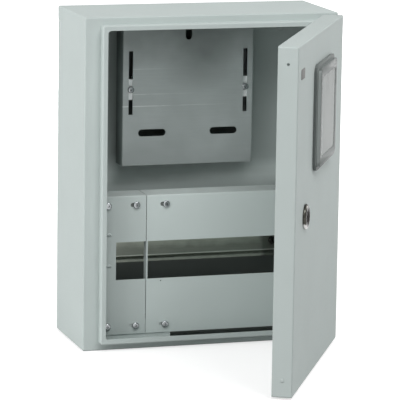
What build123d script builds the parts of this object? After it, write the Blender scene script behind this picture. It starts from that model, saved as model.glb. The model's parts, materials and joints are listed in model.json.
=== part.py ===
from build123d import *
import os

# Wall-mounted sheet-steel enclosure for one electricity meter and a row of modular devices.
# The back face lies on y = 0, the front looks along -Y, and +Z is up. The origin is the centre of the
# four wall holes. Distances named "from the wall" run along -Y. Lengths are in millimetres.
# The door and its lock are drawn shut and swung to their resting angle at the end.

# Cabinet shell
width = 310.0
height = 395.0
depth = 124.0  # from the wall to the front strip
sheet = 1.2
inside_bend = 0.8  # inside radius of the folded corners
side_strip = 19.0  # front strip at the left and right
end_strip = 8.5  # front strip at the top and bottom
lip_rise = 11.0  # rain-gutter wall in front of the strip
lip_band = 6.0  # lip folded inwards from the gutter wall
lip_return = 4.0  # safe edge folded back from the lip
lip_corner = 4.0  # corner radius of the door opening
gutter_corner = 3.0  # tight corner of the gutter wall
wall_hole = 7.0
wall_hole_side = 30.0  # hole centre from the side of the cabinet
wall_hole_end = 32.0  # hole centre from the top or bottom
knockout = 28.0  # pre-punched discs of the cable entries in the bottom
knockout_slit = 0.3
knockout_tab = 3.0
knockout_tab_gap = 0.05
knockout_pitch = 80.0
knockout_from_wall = 62.0

# Door and its hinges
door_side_gap = 2.5  # door edge inside the cabinet's side
door_end_gap = 2.0  # door edge inside the cabinet's top and bottom
door_depth = 23.0
door_clear = 3.0  # shut door's flanges in front of the strip
door_open = 61.0  # resting angle, in degrees from shut
hinge_flange = 13.5  # shorter flange on the hinge side, which swings into the gutter
hinge_relief = 4.0  # end of the top and bottom flanges cut back with it
hinge_inset = 10.0  # axis from the door's hinge-side edge
hinge_reach = 14.5  # axis in front of the strip
hinge_end = 57.5  # middle of a hinge from the cabinet's top or bottom
knuckle = 9.0
knuckle_length = 14.0
knuckle_gap = 0.2
hinge_pin = 5.0
pin_chamfer = 0.6
pin_fit = 0.05  # radial running clearance
leaf_sheet = 1.5
leaf_height = 30.0
leaf_foot = 2.0  # width of the cabinet leaf on the gutter wall, clear of the swinging flange
leaf_width = 22.0  # width of the door leaf
edge_hole = 3.2  # paint-hanging holes in the free edge of the door
edge_hole_end = 19.5  # from the top or bottom of the door

# Window in the door
window_width = 118.0
window_height = 120.5
window_side = 82.5  # window's edge from the door's hinge side
window_top = 34.0  # window's edge from the door's top
window_corner = 10.0
window_flange = 4.0
window_rise = 7.5
window_step = 4.0  # flange left around the raised rim
window_rim_corner = 8.0
window_edge = 1.0  # bevel of the flange and the raised rim
window_spigot = 14.0  # spigot set in from the flange's edge
window_spigot_wall = 2.0
window_spigot_length = 5.0  # spigot behind the door's outer face
window_fit = 0.25
pane_sheet = 2.0
pane_ledge = 1.0  # ledge in the frame that carries the pane
pane_corner = 5.0
pane_set = 0.3  # pane below the raised rim
pane_fit = 0.1
retainer_width = 7.0
retainer_sheet = 2.0

# Cam lock in the door
lock_side = 60.5  # lock from the door's free edge
lock_z = -2.0
lock_head = 28.5
lock_head_rise = 4.0
lock_head_bevel = 2.0
lock_barrel = 18.0
lock_hole_fit = 0.2
lock_nut_span = 24.0
lock_nut_height = 4.0
lock_plug = 14.0
plug_fit = 0.05
plug_recess = 0.8
key_slot_width = 2.4
key_slot_length = 9.0
key_slot_depth = 6.0
cam_sheet = 2.5
cam_width = 13.0
cam_clear = 0.5  # cam behind the lip's folded-back edge
cam_tip_clear = 1.0  # cam's tip from the gutter wall
cam_tail = 9.0  # round stub of the plug that carries the cam
cam_screw_head = 11.0
cam_screw_rise = 2.5

# Meter plate and its two brackets
plate_width = 165.0
plate_height = 180.0
plate_top_gap = 11.3  # below the cabinet's ceiling
plate_front = 28.0  # from the wall
plate_sheet = 1.5
plate_wall_gap = 0.8
adjust_slot_x = 72.0
adjust_slot_width = 5.2
adjust_slot_length = 77.0
adjust_slot_drop = 79.5  # slot's middle below the plate's top
meter_slot_x = 45.0
meter_slot_width = 8.6
meter_slot_length = 34.5
meter_slot_rise = 39.5  # above the plate's bottom
hook_slot_width = 8.0
hook_slot_length = 24.0
hook_slot_drop = 16.7  # slot's middle below the plate's top
plate_bracket_height = 25.0
plate_bracket_sheet = 1.5
plate_bracket_foot = 16.0
plate_bracket_inset = 9.0  # web of the bracket inside its adjusting slot
plate_screw_drop = 87.5  # screw below the plate's top

# Front covers over the modular devices
cover_setback = 19.0  # covers behind the front strip
cover_sheet = 1.2
cover_bend = 1.5  # outside radius under the top flange
cover_side_gap = 27.0  # cover edge inside the cabinet's side
cover_floor_gap = 12.3
cover_height = 167.0
cover_flange = 34.0  # top flange folded back
narrow_width = 55.0  # parting line from the narrow cover's outer edge
seam_gap = 0.8
module_margin = 18.0  # device cut-out inside the covers' outer edges
module_height = 45.6
module_rise = 88.7  # middle of the device cut-out above the covers' lower edge
seam_strip = 1.5  # wide cover left of its cut-out
seam_flange = 11.0  # wide cover's edge folded back along the seam
keyhole_width = 5.0
keyhole_length = 10.5
keyhole_offset = 2.1  # middle of the slot to the left of its screw
cover_screw_side = 8.0  # outer screws from the covers' outer edges
narrow_screw_seam = 12.3  # narrow cover's inner screws from the seam
wide_screw_seam = 24.3  # wide cover's inner screws from the seam
upper_screw_drop = 11.3
lower_screw_rise = 9.8
seal_lug_radius = 3.4  # lanced lugs for sealing wire on the narrow cover
seal_lug_rise = 1.6
seal_lug_taper = 30.0  # lean of the lugs' sides, in degrees
seal_lug_side = 9.3  # lug centre from the narrow cover's outer edge
upper_lug_rise = 31.0  # above the middle of the cut-out
lower_lug_drop = 6.5  # below it
pilot_hole = 1.8
pilot_from_seam = 18.0
pilot_below_cutout = 3.0

# Brackets behind the covers
cover_bracket_sheet = 1.5
bracket_overlap = 7.0  # bracket past its screws
bracket_outer_reach = 16.0  # lower brackets past the outer screws
bracket_foot = 18.0
upper_bracket_gap = 0.8  # below the covers' top flange
upper_bracket_height = 22.0

# Rail for the modular devices
rail_behind_cover = 47.0  # rail lips behind the covers' front face
rail_above_module = 6.0  # rail's middle above the middle of the cut-out
rail_end_gap = 2.0  # rail's ends inside the cut-out's
rail_height = 35.0
rail_crown = 27.0
rail_depth = 7.5
rail_sheet = 1.0
rail_screw_end = 6.0  # screw from the end of the rail
rail_bracket_sheet = 1.5
rail_bracket_height = 20.0
rail_bracket_flange = 16.0

# Screws and the earth stud
cover_screw_head = 8.2
cover_screw_rise = 2.3
cover_screw_shank = 4.0
cover_screw_length = 9.0
plate_screw_head = 8.0
plate_screw_rise = 2.6
plate_screw_shank = 4.0
plate_screw_length = 9.0
rail_screw_head = 9.0
rail_screw_rise = 3.0
rail_screw_shank = 5.0
rail_screw_length = 10.0
head_bevel = 1.0
recess_width = 1.0  # cross recess in a screw head
recess_share = 0.56  # recess length as a share of the head
recess_depth = 1.2
screw_fit = 0.1
earth_stud = 6.0
earth_stud_length = 20.0
stud_chamfer = 0.6
earth_side = 45.0  # from the cabinet's right side
earth_rise = 40.0  # above the floor
earth_nut_span = 10.0
earth_nut_height = 5.0
earth_washer = 12.5
earth_washer_sheet = 1.6

# Places worked out from the sizes above
bend = sheet + inside_bend  # outside radius of the folded corners
edge_round = sheet + inside_bend / 2  # outside radius of the long front and back edges
gutter_width = width - 2 * side_strip
gutter_height = height - 2 * end_strip
opening_width = gutter_width - 2 * lip_band
opening_height = gutter_height - 2 * lip_band
lip_front = depth + lip_rise
inner_side = width / 2 - sheet
floor_z = sheet - height / 2
ceiling_z = height / 2 - sheet

door_width = width - 2 * door_side_gap
door_height = height - 2 * door_end_gap
door_back = depth + door_clear
door_front = door_back + door_depth
door_inside = door_front - sheet
hinge_x = door_width / 2 - hinge_inset
hinge_spacing = height - 2 * hinge_end
window_x = door_width / 2 - window_side - window_width / 2
window_z = door_height / 2 - window_top - window_height / 2
window_clear = window_spigot + window_spigot_wall  # see-through opening set in from the flange's edge
pane_inset = window_clear - pane_ledge
pane_front = door_front + window_rise - pane_set
lock_x = lock_side - door_width / 2
hinge_y = -(depth + hinge_reach)
hinge_axis = Axis((hinge_x, hinge_y, 0), (0, 0, 1))

cam_front = lip_front - lip_return - cam_clear
cam_tip_x = -(gutter_width / 2 - sheet - cam_tip_clear)
barrel_end = cam_front + cam_clear

plate_top = ceiling_z - plate_top_gap
plate_bottom = plate_top - plate_height
plate_seat = plate_front - plate_sheet
plate_bracket_web = adjust_slot_x - plate_bracket_inset
plate_bracket_flange = plate_width / 2 - plate_sheet - plate_wall_gap - plate_bracket_web
plate_screw_z = plate_top - plate_screw_drop

cover_front = depth - cover_setback
cover_seat = cover_front - cover_sheet
cover_side = width / 2 - cover_side_gap
cover_bottom = floor_z + cover_floor_gap
cover_top = cover_bottom + cover_height
module_z = cover_bottom + module_rise
module_width = 2 * (cover_side - module_margin)
seam_x = narrow_width - cover_side
narrow_right = seam_x - seam_gap / 2
wide_left = seam_x + seam_gap / 2
upper_screw_z = cover_top - upper_screw_drop
lower_screw_z = cover_bottom + lower_screw_rise
outer_screw_x = cover_side - cover_screw_side
narrow_screws_x = (-outer_screw_x, seam_x - narrow_screw_seam)
wide_screws_x = (seam_x + wide_screw_seam, outer_screw_x)
upper_bracket_top = cover_top - cover_sheet - upper_bracket_gap
upper_bracket_bottom = upper_bracket_top - upper_bracket_height
lower_bracket_top = lower_screw_z + bracket_overlap
bracket_back = cover_seat - cover_bracket_sheet

rail_front = cover_front - rail_behind_cover
rail_seat = rail_front - rail_depth  # back of the crown, which lies on the brackets
rail_z = module_z + rail_above_module
rail_length = module_width - 2 * rail_end_gap
rail_screw_x = rail_length / 2 - rail_screw_end

parts = {}


def keep(name, part):
    """Labels a finished piece and lists it for writing."""
    part.label = name
    parts[name] = part


def swung(part):
    """Turns a piece drawn on the shut door to the angle at which the door rests."""
    return part.rotate(hinge_axis, door_open)


def cross_screw(x, z, seat, head, rise, shank, length):
    """Pan-head screw with a cross recess, its head seated on the face that far from the wall."""
    with BuildPart() as screw:
        with BuildSketch(Plane.XZ.offset(seat)):
            with Locations((x, z)):
                Circle(head / 2)
        extrude(amount=rise)
        chamfer(screw.faces().sort_by(Axis.Y)[0].edges(), head_bevel)
        with BuildSketch(Plane.XZ.offset(seat + rise)):
            with Locations((x, z)):
                Rectangle(recess_share * head, recess_width)
                Rectangle(recess_width, recess_share * head)
        extrude(amount=-recess_depth, mode=Mode.SUBTRACT)
        with BuildSketch(Plane.XZ.offset(seat)):
            with Locations((x, z)):
                Circle(shank / 2)
        extrude(amount=-length)
    return screw.part


# Folded and welded cabinet with a rain gutter around the door opening
with BuildPart() as cabinet:
    with BuildSketch(Plane.XZ):
        RectangleRounded(width, height, bend)
    extrude(amount=depth)
    fillet(cabinet.faces().sort_by(Axis.Y)[0].edges(), edge_round)
    fillet(cabinet.faces().sort_by(Axis.Y)[-1].edges(), edge_round)
    with BuildSketch(Plane.XZ.offset(sheet)):
        RectangleRounded(width - 2 * sheet, height - 2 * sheet, bend - sheet)
    extrude(amount=depth - 2 * sheet, mode=Mode.SUBTRACT)
    with BuildSketch(Plane.XZ.offset(depth - sheet)):
        RectangleRounded(gutter_width, gutter_height, gutter_corner)
    extrude(amount=lip_rise + sheet)
    with BuildSketch(Plane.XZ.offset(depth - sheet)):
        RectangleRounded(gutter_width - 2 * sheet, gutter_height - 2 * sheet, gutter_corner - sheet)
    extrude(amount=lip_rise, mode=Mode.SUBTRACT)
    fillet(cabinet.faces().sort_by(Axis.Y)[0].edges(), edge_round)
    with BuildSketch(Plane.XZ.offset(lip_front - lip_return)):
        RectangleRounded(opening_width + 2 * sheet, opening_height + 2 * sheet, lip_corner + sheet)
    extrude(amount=lip_return - sheet)
    with BuildSketch(Plane.XZ.offset(lip_front - lip_return)):
        RectangleRounded(opening_width, opening_height, lip_corner)
    extrude(amount=lip_return, mode=Mode.SUBTRACT)
    with BuildSketch(Plane.XZ):
        with GridLocations(width - 2 * wall_hole_side, height - 2 * wall_hole_end, 2, 2):
            Circle(wall_hole / 2)
    extrude(amount=sheet, mode=Mode.SUBTRACT)
    with BuildSketch(Plane.XY.offset(-height / 2)):
        with Locations((0, -knockout_from_wall)):
            with GridLocations(knockout_pitch, 0, 3, 1):
                Circle(knockout / 2 + knockout_slit)
    extrude(amount=sheet, mode=Mode.SUBTRACT)
keep("cabinet_body", cabinet.part)

# Discs still closing the cable entries, each held by two tabs across its slit
for place, step in (("left", -1), ("middle", 0), ("right", 1)):
    with BuildPart() as disc:
        with BuildSketch(Plane.XY.offset(-height / 2)):
            with Locations((step * knockout_pitch, -knockout_from_wall)):
                Circle(knockout / 2)
                Rectangle(knockout_tab, knockout + 2 * knockout_slit)
                Circle(knockout / 2 + knockout_slit - knockout_tab_gap, mode=Mode.INTERSECT)
        extrude(amount=sheet)
    keep(f"knockout_{place}", disc.part)

# Door pan in two nodes: its face with the bends around it, and the flanges folded back from it
with BuildPart() as door_panel:
    with BuildSketch(Plane.XZ.offset(door_front - bend)):
        RectangleRounded(door_width, door_height, bend)
    extrude(amount=bend)
    fillet(door_panel.faces().sort_by(Axis.Y)[0].edges(), edge_round)
    with BuildSketch(Plane.XZ.offset(door_front - bend)):
        RectangleRounded(door_width - 2 * sheet, door_height - 2 * sheet, inside_bend)
    extrude(amount=bend - sheet, mode=Mode.SUBTRACT)
    with BuildSketch(Plane.XZ.offset(door_inside)):
        with Locations((window_x, window_z)):
            RectangleRounded(
                window_width - 2 * (window_spigot - window_fit),
                window_height - 2 * (window_spigot - window_fit),
                window_corner - window_spigot_wall,
            )
        with Locations((lock_x, lock_z)):
            Circle(lock_barrel / 2 + lock_hole_fit)
    extrude(amount=sheet, mode=Mode.SUBTRACT)
keep("door_panel", swung(door_panel.part))

with BuildPart() as door_rim:
    with BuildSketch(Plane.XZ.offset(door_back)):
        RectangleRounded(door_width, door_height, bend)
        RectangleRounded(door_width - 2 * sheet, door_height - 2 * sheet, inside_bend, mode=Mode.SUBTRACT)
    extrude(amount=door_depth - bend)
    with BuildSketch(Plane.XZ.offset(door_back)):
        with Locations((door_width / 2, 0)):
            Rectangle(2 * hinge_relief, door_height)
    extrude(amount=door_depth - hinge_flange, mode=Mode.SUBTRACT)
    with BuildSketch(Plane.YZ.offset(-door_width / 2)):
        with Locations((-(door_back + door_front) / 2, 0)):
            with GridLocations(0, door_height - 2 * edge_hole_end, 1, 2):
                Circle(edge_hole / 2)
    extrude(amount=sheet, mode=Mode.SUBTRACT)
keep("door_rim", swung(door_rim.part))

# Window frame: a flange on the door's face, a raised rim around the pane and a spigot through the door
with BuildPart() as window_frame:
    with BuildSketch(Plane.XZ.offset(door_front)):
        with Locations((window_x, window_z)):
            RectangleRounded(window_width, window_height, window_corner)
    extrude(amount=window_flange)
    chamfer(window_frame.faces().sort_by(Axis.Y)[0].edges(), window_edge)
    with BuildSketch(Plane.XZ.offset(door_front)):
        with Locations((window_x, window_z)):
            RectangleRounded(
                window_width - 2 * window_step, window_height - 2 * window_step, window_rim_corner
            )
    extrude(amount=window_rise)
    chamfer(window_frame.faces().sort_by(Axis.Y)[0].edges(), window_edge)
    with BuildSketch(Plane.XZ.offset(door_front - window_spigot_length)):
        with Locations((window_x, window_z)):
            RectangleRounded(
                window_width - 2 * window_spigot,
                window_height - 2 * window_spigot,
                window_corner - window_spigot_wall,
            )
    extrude(amount=window_spigot_length)
    with BuildSketch(Plane.XZ.offset(door_front - window_spigot_length)):
        with Locations((window_x, window_z)):
            RectangleRounded(
                window_width - 2 * window_clear, window_height - 2 * window_clear, pane_corner - pane_ledge
            )
    extrude(amount=window_spigot_length + window_rise, mode=Mode.SUBTRACT)
    with BuildSketch(Plane.XZ.offset(pane_front - pane_sheet)):
        with Locations((window_x, window_z)):
            RectangleRounded(
                window_width - 2 * pane_inset, window_height - 2 * pane_inset, pane_corner
            )
    extrude(amount=pane_sheet + pane_set, mode=Mode.SUBTRACT)
keep("window_frame", swung(window_frame.part))

# Clear pane seated on the ledge inside the raised rim
with BuildPart() as window_pane:
    with BuildSketch(Plane.XZ.offset(pane_front - pane_sheet)):
        with Locations((window_x, window_z)):
            RectangleRounded(
                window_width - 2 * (pane_inset + pane_fit),
                window_height - 2 * (pane_inset + pane_fit),
                pane_corner - pane_fit,
            )
    extrude(amount=pane_sheet)
keep("window_pane", swung(window_pane.part))

# Retaining frame pressed over the window's spigot against the inside of the door
with BuildPart() as retainer:
    with BuildSketch(Plane.XZ.offset(door_inside - retainer_sheet)):
        with Locations((window_x, window_z)):
            RectangleRounded(
                window_width - 2 * (window_spigot - retainer_width),
                window_height - 2 * (window_spigot - retainer_width),
                window_corner,
            )
            RectangleRounded(
                window_width - 2 * (window_spigot - pane_fit),
                window_height - 2 * (window_spigot - pane_fit),
                window_corner - window_spigot_wall,
                mode=Mode.SUBTRACT,
            )
    extrude(amount=retainer_sheet)
keep("window_retainer", swung(retainer.part))

# Lock housing: chromed head on the door's face and a barrel through it
with BuildPart() as lock_body:
    with BuildSketch(Plane.XZ.offset(door_front)):
        with Locations((lock_x, lock_z)):
            Circle(lock_head / 2)
    extrude(amount=lock_head_rise)
    chamfer(lock_body.faces().sort_by(Axis.Y)[0].edges(), lock_head_bevel)
    with BuildSketch(Plane.XZ.offset(barrel_end)):
        with Locations((lock_x, lock_z)):
            Circle(lock_barrel / 2)
    extrude(amount=door_front - barrel_end)
    with BuildSketch(Plane.XZ.offset(barrel_end)):
        with Locations((lock_x, lock_z)):
            Circle(lock_plug / 2 + plug_fit)
    extrude(amount=door_front + lock_head_rise - barrel_end, mode=Mode.SUBTRACT)
keep("lock_body", swung(lock_body.part))

# Nut that clamps the lock to the inside of the door
with BuildPart() as lock_nut:
    with BuildSketch(Plane.XZ.offset(door_inside - lock_nut_height)):
        with Locations((lock_x, lock_z)):
            RegularPolygon(lock_nut_span / 2, 6, major_radius=False)
            Circle(lock_barrel / 2 + plug_fit, mode=Mode.SUBTRACT)
    extrude(amount=lock_nut_height)
keep("lock_nut", swung(lock_nut.part))

# Turning plug with a key slot in front and a round stub behind for the cam
with BuildPart() as lock_plug_part:
    with BuildSketch(Plane.XZ.offset(barrel_end)):
        with Locations((lock_x, lock_z)):
            Circle(lock_plug / 2)
    extrude(amount=door_front + lock_head_rise - plug_recess - barrel_end)
    with BuildSketch(Plane.XZ.offset(door_front + lock_head_rise - plug_recess)):
        with Locations((lock_x, lock_z)):
            Rectangle(key_slot_width, key_slot_length)
    extrude(amount=-key_slot_depth, mode=Mode.SUBTRACT)
    with BuildSketch(Plane.XZ.offset(cam_front - cam_sheet)):
        with Locations((lock_x, lock_z)):
            Circle(cam_tail / 2)
    extrude(amount=barrel_end - cam_front + cam_sheet)
keep("lock_plug", swung(lock_plug_part.part))

# Cam that turns behind the lip; it points up while the door is unlocked
cam_reach = lock_x - cam_tip_x
with BuildPart() as lock_cam:
    with BuildSketch(Plane.XZ.offset(cam_front - cam_sheet)):
        with Locations((lock_x, lock_z + cam_reach / 2)):
            SlotOverall(cam_reach + cam_width, cam_width, rotation=90)
        with Locations((lock_x, lock_z + cam_reach + cam_width / 2)):
            Rectangle(cam_width, cam_width, mode=Mode.SUBTRACT)
        with Locations((lock_x, lock_z)):
            Circle(cam_width / 2 + cam_clear)
            Circle(cam_tail / 2 + plug_fit, mode=Mode.SUBTRACT)
    extrude(amount=cam_sheet)
keep("lock_cam", swung(lock_cam.part))

# Screw head that holds the cam on the plug's stub
with BuildPart() as cam_screw:
    with BuildSketch(Plane.XZ.offset(cam_front - cam_sheet - cam_screw_rise)):
        with Locations((lock_x, lock_z)):
            Circle(cam_screw_head / 2)
            Rectangle(recess_share * cam_screw_head, recess_width, mode=Mode.SUBTRACT)
    extrude(amount=cam_screw_rise)
keep("lock_cam_screw", swung(cam_screw.part))

# Two concealed hinges in the gutter: a leaf on the gutter wall, a leaf on the door and a pin in each
for place, side in (("upper", 1), ("lower", -1)):
    middle_z = side * hinge_spacing / 2
    gutter_x = gutter_width / 2
    foot_front = -(lip_front - edge_round)

    with BuildPart() as cabinet_leaf:
        with BuildSketch(Plane.XY.offset(middle_z - knuckle_length)):
            with BuildLine():
                CenterArc((hinge_x, hinge_y), knuckle / 2, 0, 360)
                Line((gutter_x, foot_front), (gutter_x, foot_front + leaf_foot))
            make_hull()
        extrude(amount=knuckle_length - knuckle_gap / 2)
        with BuildSketch(Plane.XY.offset(middle_z - leaf_height / 2)):
            with Locations((gutter_x, foot_front)):
                Rectangle(leaf_sheet, leaf_foot, align=(Align.MIN, Align.MIN))
        extrude(amount=leaf_height)
        with BuildSketch(Plane.XY.offset(middle_z - knuckle_length)):
            with Locations((hinge_x, hinge_y)):
                Circle(hinge_pin / 2 + pin_fit)
        extrude(amount=knuckle_length, mode=Mode.SUBTRACT)
    keep(f"hinge_{place}_cabinet_leaf", cabinet_leaf.part)

    with BuildPart() as door_leaf:
        with BuildSketch(Plane.XY.offset(middle_z + knuckle_gap / 2)):
            with BuildLine():
                CenterArc((hinge_x, hinge_y), knuckle / 2, 0, 360)
                Line((hinge_x - knuckle, -door_inside), (hinge_x + knuckle / 2, -door_inside))
            make_hull()
        extrude(amount=knuckle_length - knuckle_gap / 2)
        with BuildSketch(Plane.XY.offset(middle_z - leaf_height / 2)):
            with Locations((hinge_x + knuckle / 2, -door_inside)):
                Rectangle(leaf_width, leaf_sheet, align=(Align.MAX, Align.MIN))
        extrude(amount=leaf_height)
        with BuildSketch(Plane.XY.offset(middle_z)):
            with Locations((hinge_x, hinge_y)):
                Circle(hinge_pin / 2 + pin_fit)
        extrude(amount=knuckle_length, mode=Mode.SUBTRACT)
    keep(f"hinge_{place}_door_leaf", swung(door_leaf.part))

    with BuildPart() as pin:
        with BuildSketch(Plane.XY.offset(middle_z - knuckle_length)):
            with Locations((hinge_x, hinge_y)):
                Circle(hinge_pin / 2)
        extrude(amount=2 * knuckle_length)
        chamfer(pin.faces().sort_by(Axis.Z)[-1].edges(), pin_chamfer)
    keep(f"hinge_{place}_pin", pin.part)

# Zinc-plated meter plate: a shallow channel whose flanges reach back to the wall
with BuildPart() as plate:
    with BuildSketch(Plane.XY.offset(plate_bottom)) as channel:
        with Locations((0, -plate_front)):
            Rectangle(plate_width, plate_front - sheet - plate_wall_gap, align=(Align.CENTER, Align.MIN))
        fillet(channel.vertices().group_by(Axis.Y)[0], bend)
        with Locations((0, -plate_seat)):
            Rectangle(
                plate_width - 2 * plate_sheet,
                plate_seat,
                align=(Align.CENTER, Align.MIN),
                mode=Mode.SUBTRACT,
            )
    extrude(amount=plate_height)
    with BuildSketch(Plane.XZ.offset(plate_seat)):
        with Locations((0, plate_top - adjust_slot_drop)):
            with GridLocations(2 * adjust_slot_x, 0, 2, 1):
                Rectangle(adjust_slot_width, adjust_slot_length)
        with Locations((0, plate_bottom + meter_slot_rise)):
            with GridLocations(2 * meter_slot_x, 0, 2, 1):
                SlotOverall(meter_slot_length, meter_slot_width)
        with Locations((0, plate_top - hook_slot_drop)):
            SlotOverall(hook_slot_length, hook_slot_width, rotation=90)
    extrude(amount=plate_sheet, mode=Mode.SUBTRACT)
keep("meter_plate", plate.part)

# Z-shaped brackets on the back wall behind the plate's adjusting slots, with their screws
for place, side in (("left", -1), ("right", 1)):
    web_x = side * plate_bracket_web
    with BuildPart() as plate_bracket:
        with BuildSketch(Plane.XY.offset(plate_screw_z - plate_bracket_height / 2)):
            outward = Align.MIN if side > 0 else Align.MAX
            inward = Align.MAX if side > 0 else Align.MIN
            with Locations((web_x, -plate_seat)):
                Rectangle(plate_bracket_flange, plate_bracket_sheet, align=(outward, Align.MIN))
                Rectangle(plate_bracket_sheet, plate_seat - sheet, align=(outward, Align.MIN))
            with Locations((web_x + side * plate_bracket_sheet, -sheet)):
                Rectangle(plate_bracket_foot, plate_bracket_sheet, align=(inward, Align.MAX))
        extrude(amount=plate_bracket_height)
        with BuildSketch(Plane.XZ.offset(plate_seat - plate_bracket_sheet)):
            with Locations((side * adjust_slot_x, plate_screw_z)):
                Circle(plate_screw_shank / 2 + screw_fit)
        extrude(amount=plate_bracket_sheet, mode=Mode.SUBTRACT)
    keep(f"plate_bracket_{place}", plate_bracket.part)
    plate_screw = cross_screw(
        side * adjust_slot_x,
        plate_screw_z,
        plate_front,
        plate_screw_head,
        plate_screw_rise,
        plate_screw_shank,
        plate_screw_length,
    )
    keep(f"plate_screw_{place}", plate_screw)

# Top-hat rail for the modular devices, with a bracket and a screw at each end
with BuildPart() as rail:
    with BuildSketch(Plane.YZ.offset(-rail_length / 2)):
        with Locations((-rail_seat, rail_z)):
            Rectangle(rail_sheet, rail_crown, align=(Align.MAX, Align.CENTER))
        for side in (-1, 1):
            outward = Align.MIN if side > 0 else Align.MAX
            inward = Align.MAX if side > 0 else Align.MIN
            with Locations((-rail_front, rail_z + side * rail_crown / 2)):
                Rectangle(rail_depth, rail_sheet, align=(Align.MIN, inward))
                Rectangle(rail_sheet, (rail_height - rail_crown) / 2, align=(Align.MIN, outward))
    extrude(amount=rail_length)
    with BuildSketch(Plane.XZ.offset(rail_seat)):
        with Locations((0, rail_z)):
            with GridLocations(2 * rail_screw_x, 0, 2, 1):
                Circle(rail_screw_shank / 2 + screw_fit)
    extrude(amount=rail_sheet, mode=Mode.SUBTRACT)
keep("din_rail", rail.part)

for place, side in (("left", -1), ("right", 1)):
    web_x = side * (rail_screw_x - rail_bracket_flange / 2)
    with BuildPart() as rail_bracket:
        with BuildSketch(Plane.XY.offset(rail_z - rail_bracket_height / 2)):
            outward = Align.MIN if side > 0 else Align.MAX
            inward = Align.MAX if side > 0 else Align.MIN
            with Locations((web_x, -rail_seat)):
                Rectangle(rail_bracket_flange, rail_bracket_sheet, align=(outward, Align.MIN))
                Rectangle(rail_bracket_sheet, rail_seat - sheet, align=(outward, Align.MIN))
            with Locations((web_x + side * rail_bracket_sheet, -sheet)):
                Rectangle(rail_bracket_flange, rail_bracket_sheet, align=(inward, Align.MAX))
        extrude(amount=rail_bracket_height)
        with BuildSketch(Plane.XZ.offset(rail_seat - rail_bracket_sheet)):
            with Locations((side * rail_screw_x, rail_z)):
                Circle(rail_screw_shank / 2 + screw_fit)
        extrude(amount=rail_bracket_sheet, mode=Mode.SUBTRACT)
    keep(f"rail_bracket_{place}", rail_bracket.part)
    rail_screw = cross_screw(
        side * rail_screw_x,
        rail_z,
        rail_seat + rail_sheet,
        rail_screw_head,
        rail_screw_rise,
        rail_screw_shank,
        rail_screw_length,
    )
    keep(f"rail_screw_{place}", rail_screw)

# Narrow cover, cut open to the seam, with two lanced lugs for sealing wire
with BuildPart() as narrow_cover:
    with BuildSketch(Plane.XZ.offset(cover_seat)):
        with Locations((-cover_side, cover_bottom)):
            Rectangle(narrow_right + cover_side, cover_height, align=(Align.MIN, Align.MIN))
        with Locations((-module_width / 2, module_z)):
            Rectangle(module_width, module_height, align=(Align.MIN, Align.CENTER), mode=Mode.SUBTRACT)
        for screw_z in (upper_screw_z, lower_screw_z):
            for screw_x in narrow_screws_x:
                with Locations((screw_x - keyhole_offset, screw_z)):
                    SlotOverall(keyhole_length, keyhole_width, mode=Mode.SUBTRACT)
    extrude(amount=cover_sheet)
    with BuildSketch(Plane.XY.offset(cover_top - cover_sheet)):
        with Locations((-cover_side, -cover_front)):
            Rectangle(narrow_right + cover_side, cover_flange, align=(Align.MIN, Align.MIN))
    extrude(amount=cover_sheet)
    fillet(narrow_cover.edges().filter_by(Axis.X).group_by(Axis.Y)[0].sort_by(Axis.Z)[-1], cover_bend)
    for lug_offset in (upper_lug_rise, -lower_lug_drop):
        with BuildSketch(Plane.XZ.offset(cover_front)):
            with Locations((seal_lug_side - cover_side, module_z + lug_offset)):
                Circle(seal_lug_radius)
                Rectangle(
                    2 * seal_lug_radius,
                    seal_lug_radius,
                    align=(Align.CENTER, Align.MAX),
                    mode=Mode.SUBTRACT,
                )
        extrude(amount=seal_lug_rise, taper=seal_lug_taper)
keep("narrow_cover", narrow_cover.part)

# Wide cover, stiffened by a short flange along the seam between its brackets
with BuildPart() as wide_cover:
    with BuildSketch(Plane.XZ.offset(cover_seat)):
        with Locations((wide_left, cover_bottom)):
            Rectangle(cover_side - wide_left, cover_height, align=(Align.MIN, Align.MIN))
        with Locations((wide_left + seam_strip, module_z)):
            Rectangle(
                module_width / 2 - wide_left - seam_strip,
                module_height,
                align=(Align.MIN, Align.CENTER),
                mode=Mode.SUBTRACT,
            )
        for screw_z in (upper_screw_z, lower_screw_z):
            for screw_x in wide_screws_x:
                with Locations((screw_x - keyhole_offset, screw_z)):
                    SlotOverall(keyhole_length, keyhole_width, mode=Mode.SUBTRACT)
        with Locations((wide_left + pilot_from_seam, module_z - module_height / 2 - pilot_below_cutout)):
            Circle(pilot_hole / 2, mode=Mode.SUBTRACT)
    extrude(amount=cover_sheet)
    with BuildSketch(Plane.XY.offset(cover_top - cover_sheet)):
        with Locations((wide_left, -cover_front)):
            Rectangle(cover_side - wide_left, cover_flange, align=(Align.MIN, Align.MIN))
    extrude(amount=cover_sheet)
    fillet(wide_cover.edges().filter_by(Axis.X).group_by(Axis.Y)[0].sort_by(Axis.Z)[-1], cover_bend)
    with BuildSketch(Plane.XY.offset(lower_bracket_top + bracket_overlap)):
        with Locations((wide_left, -cover_front)):
            Rectangle(cover_sheet, seam_flange, align=(Align.MIN, Align.MIN))
    extrude(amount=upper_bracket_bottom - lower_bracket_top - 2 * bracket_overlap)
keep("wide_cover", wide_cover.part)

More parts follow.
